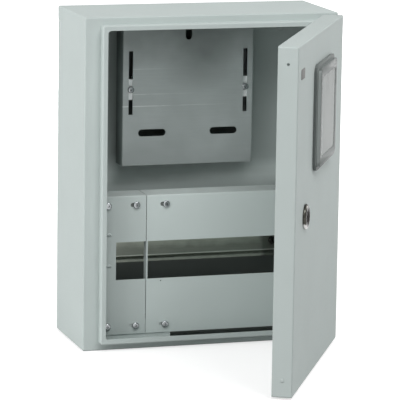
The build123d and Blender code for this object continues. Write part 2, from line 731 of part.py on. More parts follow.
# Brackets behind the covers: the upper pair is welded to the sides, the lower pair stands on the floor
inner_reach = {"left": wide_screws_x[0] + bracket_overlap, "right": outer_screw_x - bracket_overlap}
screw_rows = {"left": (*narrow_screws_x, wide_screws_x[0]), "right": (outer_screw_x,)}
for place, side in (("left", -1), ("right", 1)):
    wall_x = side * inner_side
    with BuildPart() as upper_bracket:
        with BuildSketch(Plane.XY.offset(upper_bracket_bottom)):
            outward = Align.MIN if side < 0 else Align.MAX
            with Locations((wall_x, -cover_seat)):
                Rectangle(
                    abs(inner_reach[place] - wall_x), cover_bracket_sheet, align=(outward, Align.MIN)
                )
                Rectangle(cover_bracket_sheet, bracket_foot, align=(outward, Align.MIN))
        extrude(amount=upper_bracket_height)
        with BuildSketch(Plane.XZ.offset(bracket_back)):
            with Locations(*[(screw_x, upper_screw_z) for screw_x in screw_rows[place]]):
                Circle(cover_screw_shank / 2 + screw_fit)
        extrude(amount=cover_bracket_sheet, mode=Mode.SUBTRACT)
    keep(f"cover_bracket_upper_{place}", upper_bracket.part)

    outer_end = side * (outer_screw_x + bracket_outer_reach)
    with BuildPart() as lower_bracket:
        with BuildSketch(Plane.YZ.offset(min(outer_end, inner_reach[place]))):
            with Locations((-cover_seat, floor_z)):
                Rectangle(cover_bracket_sheet, lower_bracket_top - floor_z, align=(Align.MIN, Align.MIN))
                Rectangle(bracket_foot, cover_bracket_sheet, align=(Align.MIN, Align.MIN))
        extrude(amount=abs(outer_end - inner_reach[place]))
        with BuildSketch(Plane.XZ.offset(bracket_back)):
            with Locations(*[(screw_x, lower_screw_z) for screw_x in screw_rows[place]]):
                Circle(cover_screw_shank / 2 + screw_fit)
        extrude(amount=cover_bracket_sheet, mode=Mode.SUBTRACT)
    keep(f"cover_bracket_lower_{place}", lower_bracket.part)

cover_screws_x = (*narrow_screws_x, *wide_screws_x)
cover_screws = [(x, z) for z in (upper_screw_z, lower_screw_z) for x in cover_screws_x]
for number, (screw_x, screw_z) in enumerate(cover_screws, start=1):
    cover_screw = cross_screw(
        screw_x,
        screw_z,
        cover_front,
        cover_screw_head,
        cover_screw_rise,
        cover_screw_shank,
        cover_screw_length,
    )
    keep(f"cover_screw_{number}", cover_screw)

# Earth stud welded to the back wall, with its washer and nut
earth_x = width / 2 - earth_side
earth_z = floor_z + earth_rise
with BuildPart() as stud:
    with BuildSketch(Plane.XZ.offset(sheet)):
        with Locations((earth_x, earth_z)):
            Circle(earth_stud / 2)
    extrude(amount=earth_stud_length)
    chamfer(stud.faces().sort_by(Axis.Y)[0].edges(), stud_chamfer)
keep("earth_stud", stud.part)

with BuildPart() as washer:
    with BuildSketch(Plane.XZ.offset(sheet)):
        with Locations((earth_x, earth_z)):
            Circle(earth_washer / 2)
            Circle(earth_stud / 2 + screw_fit, mode=Mode.SUBTRACT)
    extrude(amount=earth_washer_sheet)
keep("earth_washer", washer.part)

with BuildPart() as nut:
    with BuildSketch(Plane.XZ.offset(sheet + earth_washer_sheet)):
        with Locations((earth_x, earth_z)):
            RegularPolygon(earth_nut_span / 2, 6, major_radius=False)
            Circle(earth_stud / 2 + screw_fit, mode=Mode.SUBTRACT)
    extrude(amount=earth_nut_height)
keep("earth_nut", nut.part)

os.makedirs("parts", exist_ok=True)
for name, part in parts.items():
    export_step(part, f"parts/{name}.step")
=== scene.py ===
import json
import math

import bpy
from mathutils import Matrix, Vector


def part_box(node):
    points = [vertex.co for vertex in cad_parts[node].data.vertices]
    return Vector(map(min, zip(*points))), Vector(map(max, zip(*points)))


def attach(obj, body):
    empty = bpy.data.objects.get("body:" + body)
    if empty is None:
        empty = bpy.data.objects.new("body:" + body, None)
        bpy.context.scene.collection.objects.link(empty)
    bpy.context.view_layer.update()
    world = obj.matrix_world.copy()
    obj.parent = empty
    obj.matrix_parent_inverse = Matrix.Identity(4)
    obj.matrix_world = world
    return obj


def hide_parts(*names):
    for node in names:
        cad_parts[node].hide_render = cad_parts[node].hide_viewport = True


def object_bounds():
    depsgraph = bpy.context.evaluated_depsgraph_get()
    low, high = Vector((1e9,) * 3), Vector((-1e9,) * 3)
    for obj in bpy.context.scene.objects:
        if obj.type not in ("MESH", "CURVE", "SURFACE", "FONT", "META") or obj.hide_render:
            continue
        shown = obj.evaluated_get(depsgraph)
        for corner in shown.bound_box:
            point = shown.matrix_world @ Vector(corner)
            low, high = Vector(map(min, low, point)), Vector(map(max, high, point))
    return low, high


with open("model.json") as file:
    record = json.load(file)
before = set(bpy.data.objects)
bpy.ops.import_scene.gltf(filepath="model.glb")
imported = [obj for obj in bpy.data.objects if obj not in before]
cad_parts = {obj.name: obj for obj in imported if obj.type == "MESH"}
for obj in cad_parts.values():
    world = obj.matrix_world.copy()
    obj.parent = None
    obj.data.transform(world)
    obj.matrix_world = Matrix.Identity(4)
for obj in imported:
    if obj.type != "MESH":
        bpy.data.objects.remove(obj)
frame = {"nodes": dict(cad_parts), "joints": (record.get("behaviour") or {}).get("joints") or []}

CAD_LOW, CAD_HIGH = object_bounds()

bl_info = {
    "name": "Meter and distribution enclosure",
    "version": (1, 0, 0),
    "blender": (4, 5, 0),
    "location": "3D View > Sidebar > Enclosure",
    "description": "Finishes the sheet-steel enclosure, adds its small fittings and sets up the studio",
    "category": "Object",
}

# The door is modelled shut and then swung to the angle at which it rests.
DOOR_JOINT = next(joint for joint in frame["joints"] if joint["name"] == "door_hinge")
HINGE = Vector(DOOR_JOINT["pos_m"])
DOOR_OPEN = math.radians(-DOOR_JOINT["range_deg"][0])
SWING = (
    Matrix.Translation(HINGE)
    @ Matrix.Rotation(DOOR_OPEN, 4, Vector(DOOR_JOINT["axis"]))
    @ Matrix.Translation(-HINGE)
)
FACING = Matrix.Rotation(math.radians(90.0), 4, "X")  # modelled face up, fitted facing the front
NEARLY = 0.9  # a length or a normal that reaches this share of the whole counts as all of it

CASE_NODES = ("cabinet_body", "knockout_left", "knockout_middle", "knockout_right")
DOOR_NODES = ("door_panel", "door_rim")

# Sizes in metres of the fittings' own forms, inside the boxes that the frame gives
CASE_SHEET = 0.0012
RAIL_SHEET = 0.001
RAIL_CROWN = 0.027  # height of the rail between its lips
RAIL_BEND = 0.0022
SHANK_SHARE = 0.48  # a screw's shank as a share of its head
SCREW_TIP = 0.15  # chamfer at a screw's end, as a share of its shank
SCREW_TURN = 37.0  # degrees between the recesses of neighbouring screws
RECESS_DEPTH = 0.6  # share of a screw head's rise
RECESS_FLOOR = (0.3, 0.7, 1.0)  # floor of one arm of a recess as a share of its mouth
LOCK_BARREL = 0.018
LOCK_FIT = 0.00005
LOCK_NECK = 1.5  # plain part of the barrel behind the door's face, in pitches of its thread
LOCK_WALL = 0.25  # straight part of the lock head's edge, as a share of its rise
LOCK_STEPS = 7  # flats in the round of the lock head's edge
LOCK_RIM = ((0.74, 1.0), (0.70, 0.94))  # rim's inner edge and bevel, as shares of the head and its rise
LOCK_FLOOR = 0.62  # foot of the dish inside the rim, as a share of the head's rise
LOCK_WELL = 0.82  # painted shade lies inside this share of the head
CAM_TAIL = 0.009
KEY_FACE = 0.55  # face of the lock's plug, as a share of the head's rise
KEY_CHAMFER = (0.0007, 0.0006)  # inwards and downwards
KEY_RIM = 0.0016
KEY_STEP = 0.0004
KEY_SLOT = (0.0024, 0.009, 0.012)
KEY_WARD = (0.0014, 0.0045, 0.012)
KEY_OVERLAP = 0.0002  # of the ward's cut with the slot
WINDOW_FLANGE = 0.004
WINDOW_STEP = 0.004
WINDOW_SPIGOT = 0.014  # spigot set in from the flange's edge
SPIGOT_WALL = 0.002
WINDOW_CORNER = 0.010
RIM_CORNER = 0.008
PANE_CORNER = 0.005
PANE_LEDGE = 0.001
CREST_TILT = 0.7  # a normal of the window's frame that points this far up or outwards is on its crest
BLANK_CORNER = 0.0015
BLANK_EDGE = 0.4  # rounding of the blank plate's edge, as a share of its thickness
WALL_HOLE = 0.007
WALL_HOLE_PITCH = (0.250, 0.331)
WALL_PLUG_HEAD = 0.0105
EDGE_HOLE = 0.0032
EDGE_HOLE_END = 0.0195  # from the door's lower edge
EDGE_PLUG_HEAD = 0.0046
PLUG_RISE = 0.0008
PLUG_WALL = 0.3  # straight part of a plug head's edge, as a share of its rise
PLUG_STEP = 15  # degrees between the rings of a plug's dome
PLUG_TIP = (0.8, 0.7)  # taper of a plug's stub, as shares of its width and depth
PLUG_FIT = 0.00005

# Finishes: grain and relief in metres, shades as shares of the colour, and roughness
NOISE_RANGE = (0.3, 0.7)  # the part of its range that a noise mostly fills
COAT_DRIFT = 0.07
COAT_SPECK = 2.6  # multiple of the coat's fine grain
COAT_RELIEF = 0.0004
COAT_ROUGH = (0.54, 0.64)
COAT_GLOSS = 0.15
ZINC_STREAK = 0.0016
ZINC_CLOUD = 0.028
ZINC_RELIEF = 0.0002
ZINC_BLEND = (0.55, 0.45)  # shares of streaks and clouds
ZINC_TONES = (0.36, 0.64)  # blend at which the zinc is darkest and lightest
ZINC_ROUGH = (-0.06, 0.08)  # around the sheet's own roughness
STREAK_STRETCH = 0.06
BRACKET_SHADE = 1.7  # plate brackets' zinc against the meter plate's
PLATING_GRAIN = 0.0006
PLATING_CLOUD = 0.004
PLATING_RELIEF = 0.0001
PLATING_DEPTH = 0.05
PLATING_SHADES = (0.85, 1.1)
PLATING_ROUGH = (0.7, 1.4)  # multiples of the plating's own roughness
MOULD_GRAIN = 0.0008
MOULD_CLOUD = 0.03
MOULD_RELIEF = 0.0002
MOULD_DEPTH = 0.08
MOULD_SHADES = (0.9, 1.1)
MOULD_ROUGH = 0.05  # either way from the plastic's own roughness
FLOW_LINES = 0.006
FLOW_STRETCH = (1.0, 1.0, 0.08)
FLOW_SHADES = (0.92, 1.06)
FLOW_ROUGH = (0.10, 0.20)

# Painted shade, painted light and painted reflections, and real scratches, with their places in metres; a
# WAVE is the size of its edge's waves and their reach
BAY_SHADE_EDGE = 0.012  # from the covers to where the lower bay's painted shade starts
LEFT_SHADE_DRIFT = 0.017  # reach of the painted shade to the left of the meter plate
RIGHT_SHADE_SHARE = 0.12  # share of painted shade at the right of the meter plate
STRIP_PAINTED_LIGHT = (0.82, 0.90, 0.88)  # painted light on the back wall between the plate and the covers, lifting the plate's shadow there
STRIP_LIGHT_SHARE = 0.6
COVER_TOP_SHADE = (0.30, 0.32, 0.31)
COVER_TOP_SHADE_DEPTH = (0.0012, 0.0004)  # below a cover's top, where its painted shade starts and is full
COVER_TOP_SHADE_SHARE = (0.30, 0.50)
COVER_TOP_SHADE_CLOUD = 0.02
# Painted shade on the meter plate's top, foot and folded edges, and a painted dark reflection below its
# hook slot
PLATE_SHADE = (0.17, 0.19, 0.185)
PLATE_SHADE_TOP = (0.030, 0.015, 0.6)  # start above the plate's middle, end below its top, and share
PLATE_SHADE_FOOT = (0.010, 0.48)  # end above the plate's foot, and share
PLATE_SHADE_FOLD = (0.002, 0.9)  # start behind the plate's face, and share
PLATE_SHADE_WAVE = (0.05, 0.012)
PLATE_REFLECTION_PLACE = (0.012, 0.048)  # right of the cabinet's middle, and below the plate's top
PLATE_REFLECTION_REACH = (0.008, 0.05)  # where it is full, and where it ends
PLATE_REFLECTION_SHARE = 0.45
# Height, left end and length of each scratch as shares of the meter plate, and its strength
SCRATCHES = ((0.40, 0.0, 0.85, 1.0), (0.48, 0.08, 0.55, 0.7), (0.65, 0.08, 0.5, 0.5))
SCRATCH_COLOUR = (0.85, 0.88, 0.87)
SCRATCH_WIDTH = 0.0009
SCRATCH_START = 0.002
SCRATCH_GRAIN = 0.006
SCRATCH_STRETCH = (0.25, 1.0, 1.0)
SCRATCH_BREAKS = (0.36, 0.52, 0.2, 1.0)  # grain where a scratch is faint and full, and its strength there
PLATE_FACE = (0.001, 0.002)  # the meter plate's face ends over this depth
REFLECTION_START = 0.0055  # below the lock's middle, where the painted dark reflection starts to give way to bright chrome
REFLECTION_END = 0.0085  # and where it is fully bright
REFLECTION_WAVE = (0.003, 0.0015)
# Painted shade, painted shadow and painted highlight on the device rail
RAIL_SHADE = (0.16, 0.175, 0.15)
RAIL_WEB_SHADE = (0.003, 0.004, 0.008)  # painted shade above the web's foot and below its middle, and its soft edge
RAIL_WEB_SHADE_SHARE = 0.6
RAIL_SHADE_WAVE = (0.012, 0.002)
RAIL_END_SHADOW = (0.014, 0.006, 0.96)  # start and end left of the right screw's head, and share
RAIL_HIGHLIGHT = (0.80, 0.84, 0.76)
RAIL_HIGHLIGHT_LINE = (0.0004, 0.0005)  # half its width, and its soft edge
RAIL_HIGHLIGHT_SHARE = 0.7

# Name, place and size of each lamp, and the floor, in metres
LAMPS = (
    ("key", (-1.3, -2.0, 2.4), 2.4),
    ("front", (0.6, -1.9, 2.5), 1.2),
    ("low", (-2.6, -1.5, 0.9), 1.6),
    ("side", (-2.8, 0.4, 0.6), 1.6),
    ("fill", (2.7, 0.7, 1.15), 1.2),
    ("back", (0.6, 3.0, 0.0), 0.36),
)
LAMP_TARGET = (0.0, -0.1, 0.0)
SENSOR_WIDTH = 36.0  # millimetres
VIEW_END = 100.0
FLOOR_SIZE = 30.0
FLOOR_GAP = 0.0004  # below the cabinet
FLOOR_GREYS = (0.49, 0.51)
FLOOR_CLOUD = 0.4
FLOOR_ROUGH = 0.8
GLOW_REACH = (0.4, 1.6)  # from the floor's middle
GLOW = (0.62, 1.0)  # how white the floor is seen there


def node_names(start):
    """CAD nodes whose names start with these words."""
    return [name for name in frame["nodes"] if name.startswith(start)]


# Settings


class EnclosurePaint(bpy.types.PropertyGroup):
    """Powder coat on the folded sheet."""

    case_colour: bpy.props.FloatVectorProperty(
        name="Case colour", description="Light grey powder coat of the cabinet, door and covers",
        subtype="COLOR", default=(0.503, 0.561, 0.548), min=0.0, max=1.0,
    )
    # Painted shade: the door's coat is a darker copy of the case's coat, for the light that falls on it
    door_shade_share: bpy.props.FloatProperty(
        name="Door coat", description="Brightness of the door's batch of coat against the case's",
        subtype="FACTOR", default=0.89, min=0.5, max=1.5,
    )
    # Painted light: the wide cover's coat is a lighter copy of the case's coat, for the light that falls on
    # it
    wide_cover_light_share: bpy.props.FloatProperty(
        name="Wide cover coat",
        description="Brightness of the wide cover's batch of coat against the case's",
        subtype="FACTOR", default=1.12, min=0.5, max=1.5,
    )
    # Painted shade: a dark colour that stands in for the shade in the lower bay, behind the meter plate and
    # on the upper brackets
    bay_shade_colour: bpy.props.FloatVectorProperty(
        name="Bay primer",
        description="Dark primer in the lower bay, behind the meter plate and on the upper brackets",
        subtype="COLOR", default=(0.17, 0.19, 0.18), min=0.0, max=1.0,
    )
    shade_step: bpy.props.FloatProperty(
        name="Shade step", description="How far the coat's colour drifts over the sheet",
        subtype="FACTOR", default=0.04, min=0.0, max=0.5,
    )
    grain: bpy.props.FloatProperty(
        name="Grain", description="Size of the coat's fine texture",
        subtype="DISTANCE", unit="LENGTH", default=0.0009, min=0.0001, max=0.01,
    )
    grain_depth: bpy.props.FloatProperty(
        name="Grain depth", description="Strength of the coat's fine texture",
        subtype="FACTOR", default=0.10, min=0.0, max=1.0,
    )


class EnclosureMetal(bpy.types.PropertyGroup):
    """Bare and plated metal."""

    zinc_colour: bpy.props.FloatVectorProperty(
        name="Meter plate zinc", description="Dull zinc of the meter plate, its brackets and the hinges",
        subtype="COLOR", default=(0.545, 0.593, 0.588), min=0.0, max=1.0,
    )
    rail_colour: bpy.props.FloatVectorProperty(
        name="Rail zinc", description="Slightly yellow zinc of the device rail and its brackets",
        subtype="COLOR", default=(0.405, 0.435, 0.375), min=0.0, max=1.0,
    )
    screw_colour: bpy.props.FloatVectorProperty(
        name="Screw zinc", description="Bright zinc of the screws, lock fittings, earth nut and washer",
        subtype="COLOR", default=(0.40, 0.42, 0.43), min=0.0, max=1.0,
    )
    rail_screw_colour: bpy.props.FloatVectorProperty(
        name="Rail screw black", description="Black zinc of the screws that hold the device rail",
        subtype="COLOR", default=(0.045, 0.047, 0.042), min=0.0, max=1.0,
    )
    chrome_colour: bpy.props.FloatVectorProperty(
        name="Lock chrome", description="Chrome of the lower part of the lock's head",
        subtype="COLOR", default=(0.55, 0.55, 0.54), min=0.0, max=1.0,
    )
    # Painted reflection: the dark colour of the lock head's upper part stands in for the dark it reflects
    chrome_dark_reflection_colour: bpy.props.FloatVectorProperty(
        name="Worn lock chrome", description="Dulled chrome of the upper part of the lock's head",
        subtype="COLOR", default=(0.055, 0.055, 0.048), min=0.0, max=1.0,
    )
    # Painted shade: a near-black colour standing in for shade and dark reflection in the lock's well and on
    # its plug
    well_shade_colour: bpy.props.FloatVectorProperty(
        name="Lock well", description="Dark plating of the lock's well and plug",
        subtype="COLOR", default=(0.012, 0.012, 0.011), min=0.0, max=1.0,
    )
    blank_colour: bpy.props.FloatVectorProperty(
        name="Blank plate", description="Dull grey of the blank plate on the door",
        subtype="COLOR", default=(0.17, 0.17, 0.165), min=0.0, max=1.0,
    )
    brass_colour: bpy.props.FloatVectorProperty(
        name="Earth brass", description="Brass of the earth stud",
        subtype="COLOR", default=(0.70, 0.52, 0.22), min=0.0, max=1.0,
    )


class EnclosurePlastic(bpy.types.PropertyGroup):
    """Window, its retaining frame and the plugs."""

    window_colour: bpy.props.FloatVectorProperty(
        name="Pane tint", description="Tint of the clear pane",
        subtype="COLOR", default=(0.135, 0.172, 0.158), min=0.0, max=1.0,
    )
    frame_colour: bpy.props.FloatVectorProperty(
        name="Window frame tint", description="Smoke grey of the frame around the pane",
        subtype="COLOR", default=(0.45, 0.49, 0.48), min=0.0, max=1.0,
    )
    # Painted shade: the flange's darker grey stands in for the shade on it
    flange_shade_colour: bpy.props.FloatVectorProperty(
        name="Window flange tint",
        description="Darker smoke grey of the frame's flange, which lies thick on the door",
        subtype="COLOR", default=(0.18, 0.20, 0.195), min=0.0, max=1.0,
    )
    # Painted shade: the crest's and upper walls' darker grey stands in for the shade on them
    crest_shade_colour: bpy.props.FloatVectorProperty(
        name="Window crest tint", description="Smoke grey of the frame's crest and upper walls",
        subtype="COLOR", default=(0.185, 0.206, 0.199), min=0.0, max=1.0,
    )
    plug_colour: bpy.props.FloatVectorProperty(
        name="Plug colour", description="Grey plastic of the plugs in the wall holes and the door's edge",
        subtype="COLOR", default=(0.40, 0.445, 0.435), min=0.0, max=1.0,
    )
    retainer_colour: bpy.props.FloatVectorProperty(
        name="Retainer colour", description="Grey plastic of the frame behind the window",
        subtype="COLOR", default=(0.16, 0.17, 0.17), min=0.0, max=1.0,
    )


class EnclosureFittings(bpy.types.PropertyGroup):
    """Small fittings that are modelled here."""

    dome: bpy.props.FloatProperty(
        name="Screw dome", description="Share of a screw head's height that is rounded",
        subtype="FACTOR", default=0.5, min=0.1, max=0.95,
    )
    recess_reach: bpy.props.FloatProperty(
        name="Recess length", description="Length of the cross recess as a share of the head",
        subtype="FACTOR", default=0.58, min=0.2, max=0.8,
    )
    recess_width: bpy.props.FloatProperty(
        name="Recess width", description="Width of one arm of the cross recess",
        subtype="DISTANCE", unit="LENGTH", default=0.0012, min=0.0004, max=0.003,
    )
    window_round: bpy.props.FloatProperty(
        name="Window edges", description="Radius on the edges of the window moulding",
        subtype="DISTANCE", unit="LENGTH", default=0.0009, min=0.0002, max=0.003,
    )
    blank_size: bpy.props.FloatVectorProperty(
        name="Blank plate", description="Width, height and thickness of the blank plate on the door",
        subtype="XYZ", unit="LENGTH", default=(0.022, 0.0115, 0.0005),
    )
    blank_side: bpy.props.FloatProperty(
        name="Blank plate from edge", description="Blank plate's middle from the door's free edge",
        subtype="DISTANCE", unit="LENGTH", default=0.029,
    )
    blank_drop: bpy.props.FloatProperty(
        name="Blank plate from top", description="Blank plate's middle below the door's top edge",
        subtype="DISTANCE", unit="LENGTH", default=0.033,
    )
    thread_pitch: bpy.props.FloatProperty(
        name="Thread pitch", description="Pitch of the threads on the lock barrel and earth stud",
        subtype="DISTANCE", unit="LENGTH", default=0.001, min=0.0004, max=0.003,
    )


class EnclosureStage(bpy.types.PropertyGroup):
    """Camera, lamps and room light."""

    eye: bpy.props.FloatVectorProperty(
        name="Camera place", description="Camera in the enclosure's own frame",
        subtype="XYZ", unit="LENGTH", default=(-1.01879, -3.33771, 0.60283),
    )
    heading: bpy.props.FloatProperty(
        name="Camera heading",
        description="Turn of the view towards +X, from looking straight at the back wall",
        subtype="ANGLE", unit="ROTATION", default=math.radians(17.378),
    )
    tilt: bpy.props.FloatProperty(
        name="Camera tilt", description="How far the view looks down",
        subtype="ANGLE", unit="ROTATION", default=math.radians(10.510),
    )
    roll: bpy.props.FloatProperty(
        name="Camera roll", description="Turn of the picture about the view line",
        subtype="ANGLE", unit="ROTATION", default=math.radians(0.853),
    )
    lens: bpy.props.FloatProperty(
        name="Lens", description="Focal length on a 36 mm sensor, in millimetres",
        unit="CAMERA", default=261.0, min=10.0, max=1000.0,
    )
    key_power: bpy.props.FloatProperty(
        name="Key lamp", description="Power of the high lamp at the left front",
        unit="POWER", default=43.5, min=0.0,
    )
    front_power: bpy.props.FloatProperty(
        name="Front lamp", description="Power of the high lamp at the right front",
        unit="POWER", default=47.0, min=0.0,
    )
    low_power: bpy.props.FloatProperty(
        name="Low lamp", description="Power of the low lamp at the left front",
        unit="POWER", default=25.0, min=0.0,
    )
    side_power: bpy.props.FloatProperty(
        name="Side lamp", description="Power of the lamp at the left, a little behind the enclosure",
        unit="POWER", default=34.0, min=0.0,
    )
    fill_power: bpy.props.FloatProperty(
        name="Fill lamp", description="Power of the lamp at the right",
        unit="POWER", default=38.0, min=0.0,
    )
    back_power: bpy.props.FloatProperty(
        name="Back lamp", description="Power of the lamp behind the enclosure",
        unit="POWER", default=55.0, min=0.0,
    )
    sky: bpy.props.FloatProperty(
        name="Room light", description="Strength of the even light from the room",
        default=0.06, min=0.0,
    )


# Shader building


def fresh_material(name):
    """New node material, its tree and its main shader."""
    material = bpy.data.materials.new(name)
    material.use_nodes = True
    return material, material.node_tree, material.node_tree.nodes["Principled BSDF"]


def object_place(tree, stretch=(1.0, 1.0, 1.0)):
    """Object coordinates, stretched along the axes."""
    place = tree.nodes.new("ShaderNodeTexCoord")
    mapping = tree.nodes.new("ShaderNodeMapping")
    mapping.inputs["Scale"].default_value = stretch
    tree.links.new(place.outputs["Object"], mapping.inputs["Vector"])
    return mapping.outputs["Vector"]


def axes_of(tree, place):
    """X, Y and Z of a place."""
    node = tree.nodes.new("ShaderNodeSeparateXYZ")
    tree.links.new(place, node.inputs["Vector"])
    return node.outputs["X"], node.outputs["Y"], node.outputs["Z"]


def distance(tree, place, point):
    """How far a place is from a point."""
    node = tree.nodes.new("ShaderNodeVectorMath")
    node.operation = "DISTANCE"
    node.inputs[1].default_value = point
    tree.links.new(place, node.inputs[0])
    return node.outputs["Value"]


def grain(tree, place, size, detail=2.0, roughness=0.5):
    """Noise whose features are about this size, in metres."""
    noise = tree.nodes.new("ShaderNodeTexNoise")
    noise.inputs["Scale"].default_value = 1.0 / size
    noise.inputs["Detail"].default_value = detail
    noise.inputs["Roughness"].default_value = roughness
    tree.links.new(place, noise.inputs["Vector"])
    return noise.outputs["Fac"]


def remap(tree, value, low, high, new_low, new_high):
    """Value spread from one range to another and held inside it."""
    node = tree.nodes.new("ShaderNodeMapRange")
    node.inputs["From Min"].default_value = low
    node.inputs["From Max"].default_value = high
    node.inputs["To Min"].default_value = new_low
    node.inputs["To Max"].default_value = new_high
    tree.links.new(value, node.inputs["Value"])
    return node.outputs["Result"]


def spread(tree, noise, low, high):
    """Noise spread over a range."""
    return remap(tree, noise, *NOISE_RANGE, low, high)


def reckon(tree, operation, first, *others):
    """Maths on values in turn; a number is set on the socket, and a socket is linked."""
    for other in others:
        node = tree.nodes.new("ShaderNodeMath")
        node.operation = operation
        for socket, value in zip(node.inputs, (first, other)):
            if isinstance(value, (int, float)):
                socket.default_value = value
            else:
                tree.links.new(value, socket)
        first = node.outputs["Value"]
    return first


def between(tree, value, low, high, soft):
    """One while a value lies between two limits, falling to nothing over a soft edge outside them."""
    rise = remap(tree, value, low - soft, low, 0.0, 1.0)
    fall = remap(tree, value, high, high + soft, 1.0, 0.0)
    return reckon(tree, "MULTIPLY", rise, fall)


def wavy_height(tree, place, size, reach):
    """Height that wavers up and down by a reach, with waves of about this size."""
    waver = spread(tree, grain(tree, place, size), -reach, reach)
    return reckon(tree, "ADD", axes_of(tree, place)[2], waver)


def colour_between(tree, factor, first, second):
    """Colour between two, by a factor; a colour is set on the socket, and a socket is linked."""
    node = tree.nodes.new("ShaderNodeMix")
    node.data_type = "RGBA"
    tree.links.new(factor, node.inputs[0])
    for socket, value in ((node.inputs[6], first), (node.inputs[7], second)):
        if isinstance(value, bpy.types.NodeSocket):
            tree.links.new(value, socket)
        else:
            socket.default_value = (*value, 1.0)
    return node.outputs[2]


def scaled(colour, share):
    """Colour made lighter or darker by a share."""
    return tuple(min(1.0, channel * share) for channel in colour)


def tint(tree, shader, factor, colour, shares, rough):
    """Colour that drifts between two shares of itself by a factor, and a roughness."""
    shade = colour_between(tree, factor, *(scaled(colour, share) for share in shares))
    tree.links.new(shade, shader.inputs["Base Color"])
    tree.links.new(rough, shader.inputs["Roughness"])


def lay_over(material, factor, colour):
    """Lays a colour over a material's own, as far as a factor says."""
    tree = material.node_tree
    socket = tree.nodes["Principled BSDF"].inputs["Base Color"]
    below = socket.links[0].from_socket
    tree.links.new(colour_between(tree, factor, below, colour), socket)


def raise_surface(tree, shader, height, strength, depth):
    """Surface detail from a height, in metres."""
    bump = tree.nodes.new("ShaderNodeBump")
    bump.inputs["Strength"].default_value = strength
    bump.inputs["Distance"].default_value = depth
    tree.links.new(height, bump.inputs["Height"])
    tree.links.new(bump.outputs["Normal"], shader.inputs["Normal"])


# Finishes


def powder_coat(name, colour, settings):
    """Finely textured powder coat whose shade drifts a little over the sheet."""
    material, tree, shader = fresh_material(name)
    place = object_place(tree)
    drift = grain(tree, place, COAT_DRIFT)
    fine = grain(tree, place, settings.grain)
    speck = grain(tree, place, settings.grain * COAT_SPECK, detail=1.0)
    shares = (1.0 - settings.shade_step, 1.0 + settings.shade_step)
    tint(tree, shader, drift, colour, shares, spread(tree, speck, *COAT_ROUGH))
    shader.inputs["Specular IOR Level"].default_value = COAT_GLOSS
    raise_surface(tree, shader, fine, settings.grain_depth, COAT_RELIEF)
    return material


def paint_bay_shade(material, colour):
    """Painted shade in the lower bay and round the meter plate, and painted light on the strip of wall
    between them.
    """
    tree = material.node_tree
    x, y, z = axes_of(tree, object_place(tree))
    low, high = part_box("cabinet_body")
    cover_low, cover_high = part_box("wide_cover")
    plate_low, plate_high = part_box("meter_plate")
    skin = 0.5 * CASE_SHEET
    edge = 0.1 * skin
    across = between(tree, x, low.x + skin, high.x - skin, edge)
    inward = between(tree, y, cover_low.y + BAY_SHADE_EDGE, high.y - skin, edge)
    under = remap(tree, z, cover_high.z - 2 * BAY_SHADE_EDGE, cover_high.z - BAY_SHADE_EDGE, 1.0, 0.0)
    over = remap(tree, z, low.z + skin - edge, low.z + skin, 0.0, 1.0)
    inside = reckon(tree, "MULTIPLY", across, inward, under, over)
    left = remap(tree, x, plate_low.x - LEFT_SHADE_DRIFT, plate_low.x + BAY_SHADE_EDGE, 0.0, 1.0)
    right = remap(tree, x, plate_high.x - BAY_SHADE_EDGE, plate_high.x, 1.0, RIGHT_SHADE_SHARE)
    foot = remap(tree, z, plate_low.z, plate_low.z + BAY_SHADE_EDGE, 0.0, 1.0)
    lid = remap(tree, z, high.z - skin, high.z - skin + edge, 1.0, 0.0)
    depth = between(tree, y, plate_low.y, high.y - skin, edge)
    behind = reckon(tree, "MULTIPLY", left, right, foot, lid, depth, across)
    strip = between(tree, z, cover_high.z, plate_low.z - BAY_SHADE_EDGE, BAY_SHADE_EDGE)
    wall = between(tree, y, high.y - 2 * CASE_SHEET, high.y - skin, edge)
    # Painted light on the strip of back wall under the meter plate
    lay_over(material, reckon(tree, "MULTIPLY", strip, wall, across, STRIP_LIGHT_SHARE), STRIP_PAINTED_LIGHT)
    lay_over(material, reckon(tree, "MAXIMUM", inside, behind), colour)


def paint_cover_top_shade(material, top):
    """Thin, cloudy painted shade on the upward face of a cover's top fold."""
    tree = material.node_tree
    place = object_place(tree)
    start, full = COVER_TOP_SHADE_DEPTH
    lying = remap(tree, axes_of(tree, place)[2], top - start, top - full, 0.0, 1.0)
    thin = spread(tree, grain(tree, place, COVER_TOP_SHADE_CLOUD), *COVER_TOP_SHADE_SHARE)
    lay_over(material, reckon(tree, "MULTIPLY", lying, thin), COVER_TOP_SHADE)


def zinc_sheet(name, colour, streak, metallic, rough, contrast=0.12):
    """Zinc-plated sheet with rolling streaks along the named axis and cloudy patches."""
    material, tree, shader = fresh_material(name)
    along = {"x": (STREAK_STRETCH, 1.0, 1.0), "z": (1.0, 1.0, STREAK_STRETCH)}[streak]
    streaks = grain(tree, object_place(tree, along), ZINC_STREAK, detail=3.0, roughness=0.6)
    cloud = grain(tree, object_place(tree), ZINC_CLOUD, detail=3.0, roughness=0.55)
    parts = (reckon(tree, "MULTIPLY", *pair) for pair in zip((streaks, cloud), ZINC_BLEND))
    tone = reckon(tree, "ADD", *parts)
    shares = (1.0 - contrast, 1.0 + contrast)
    dullness = spread(tree, tone, *(rough + step for step in ZINC_ROUGH))
    tint(tree, shader, remap(tree, tone, *ZINC_TONES, 0.0, 1.0), colour, shares, dullness)
    shader.inputs["Metallic"].default_value = metallic
    raise_surface(tree, shader, streaks, contrast, ZINC_RELIEF)
    return material


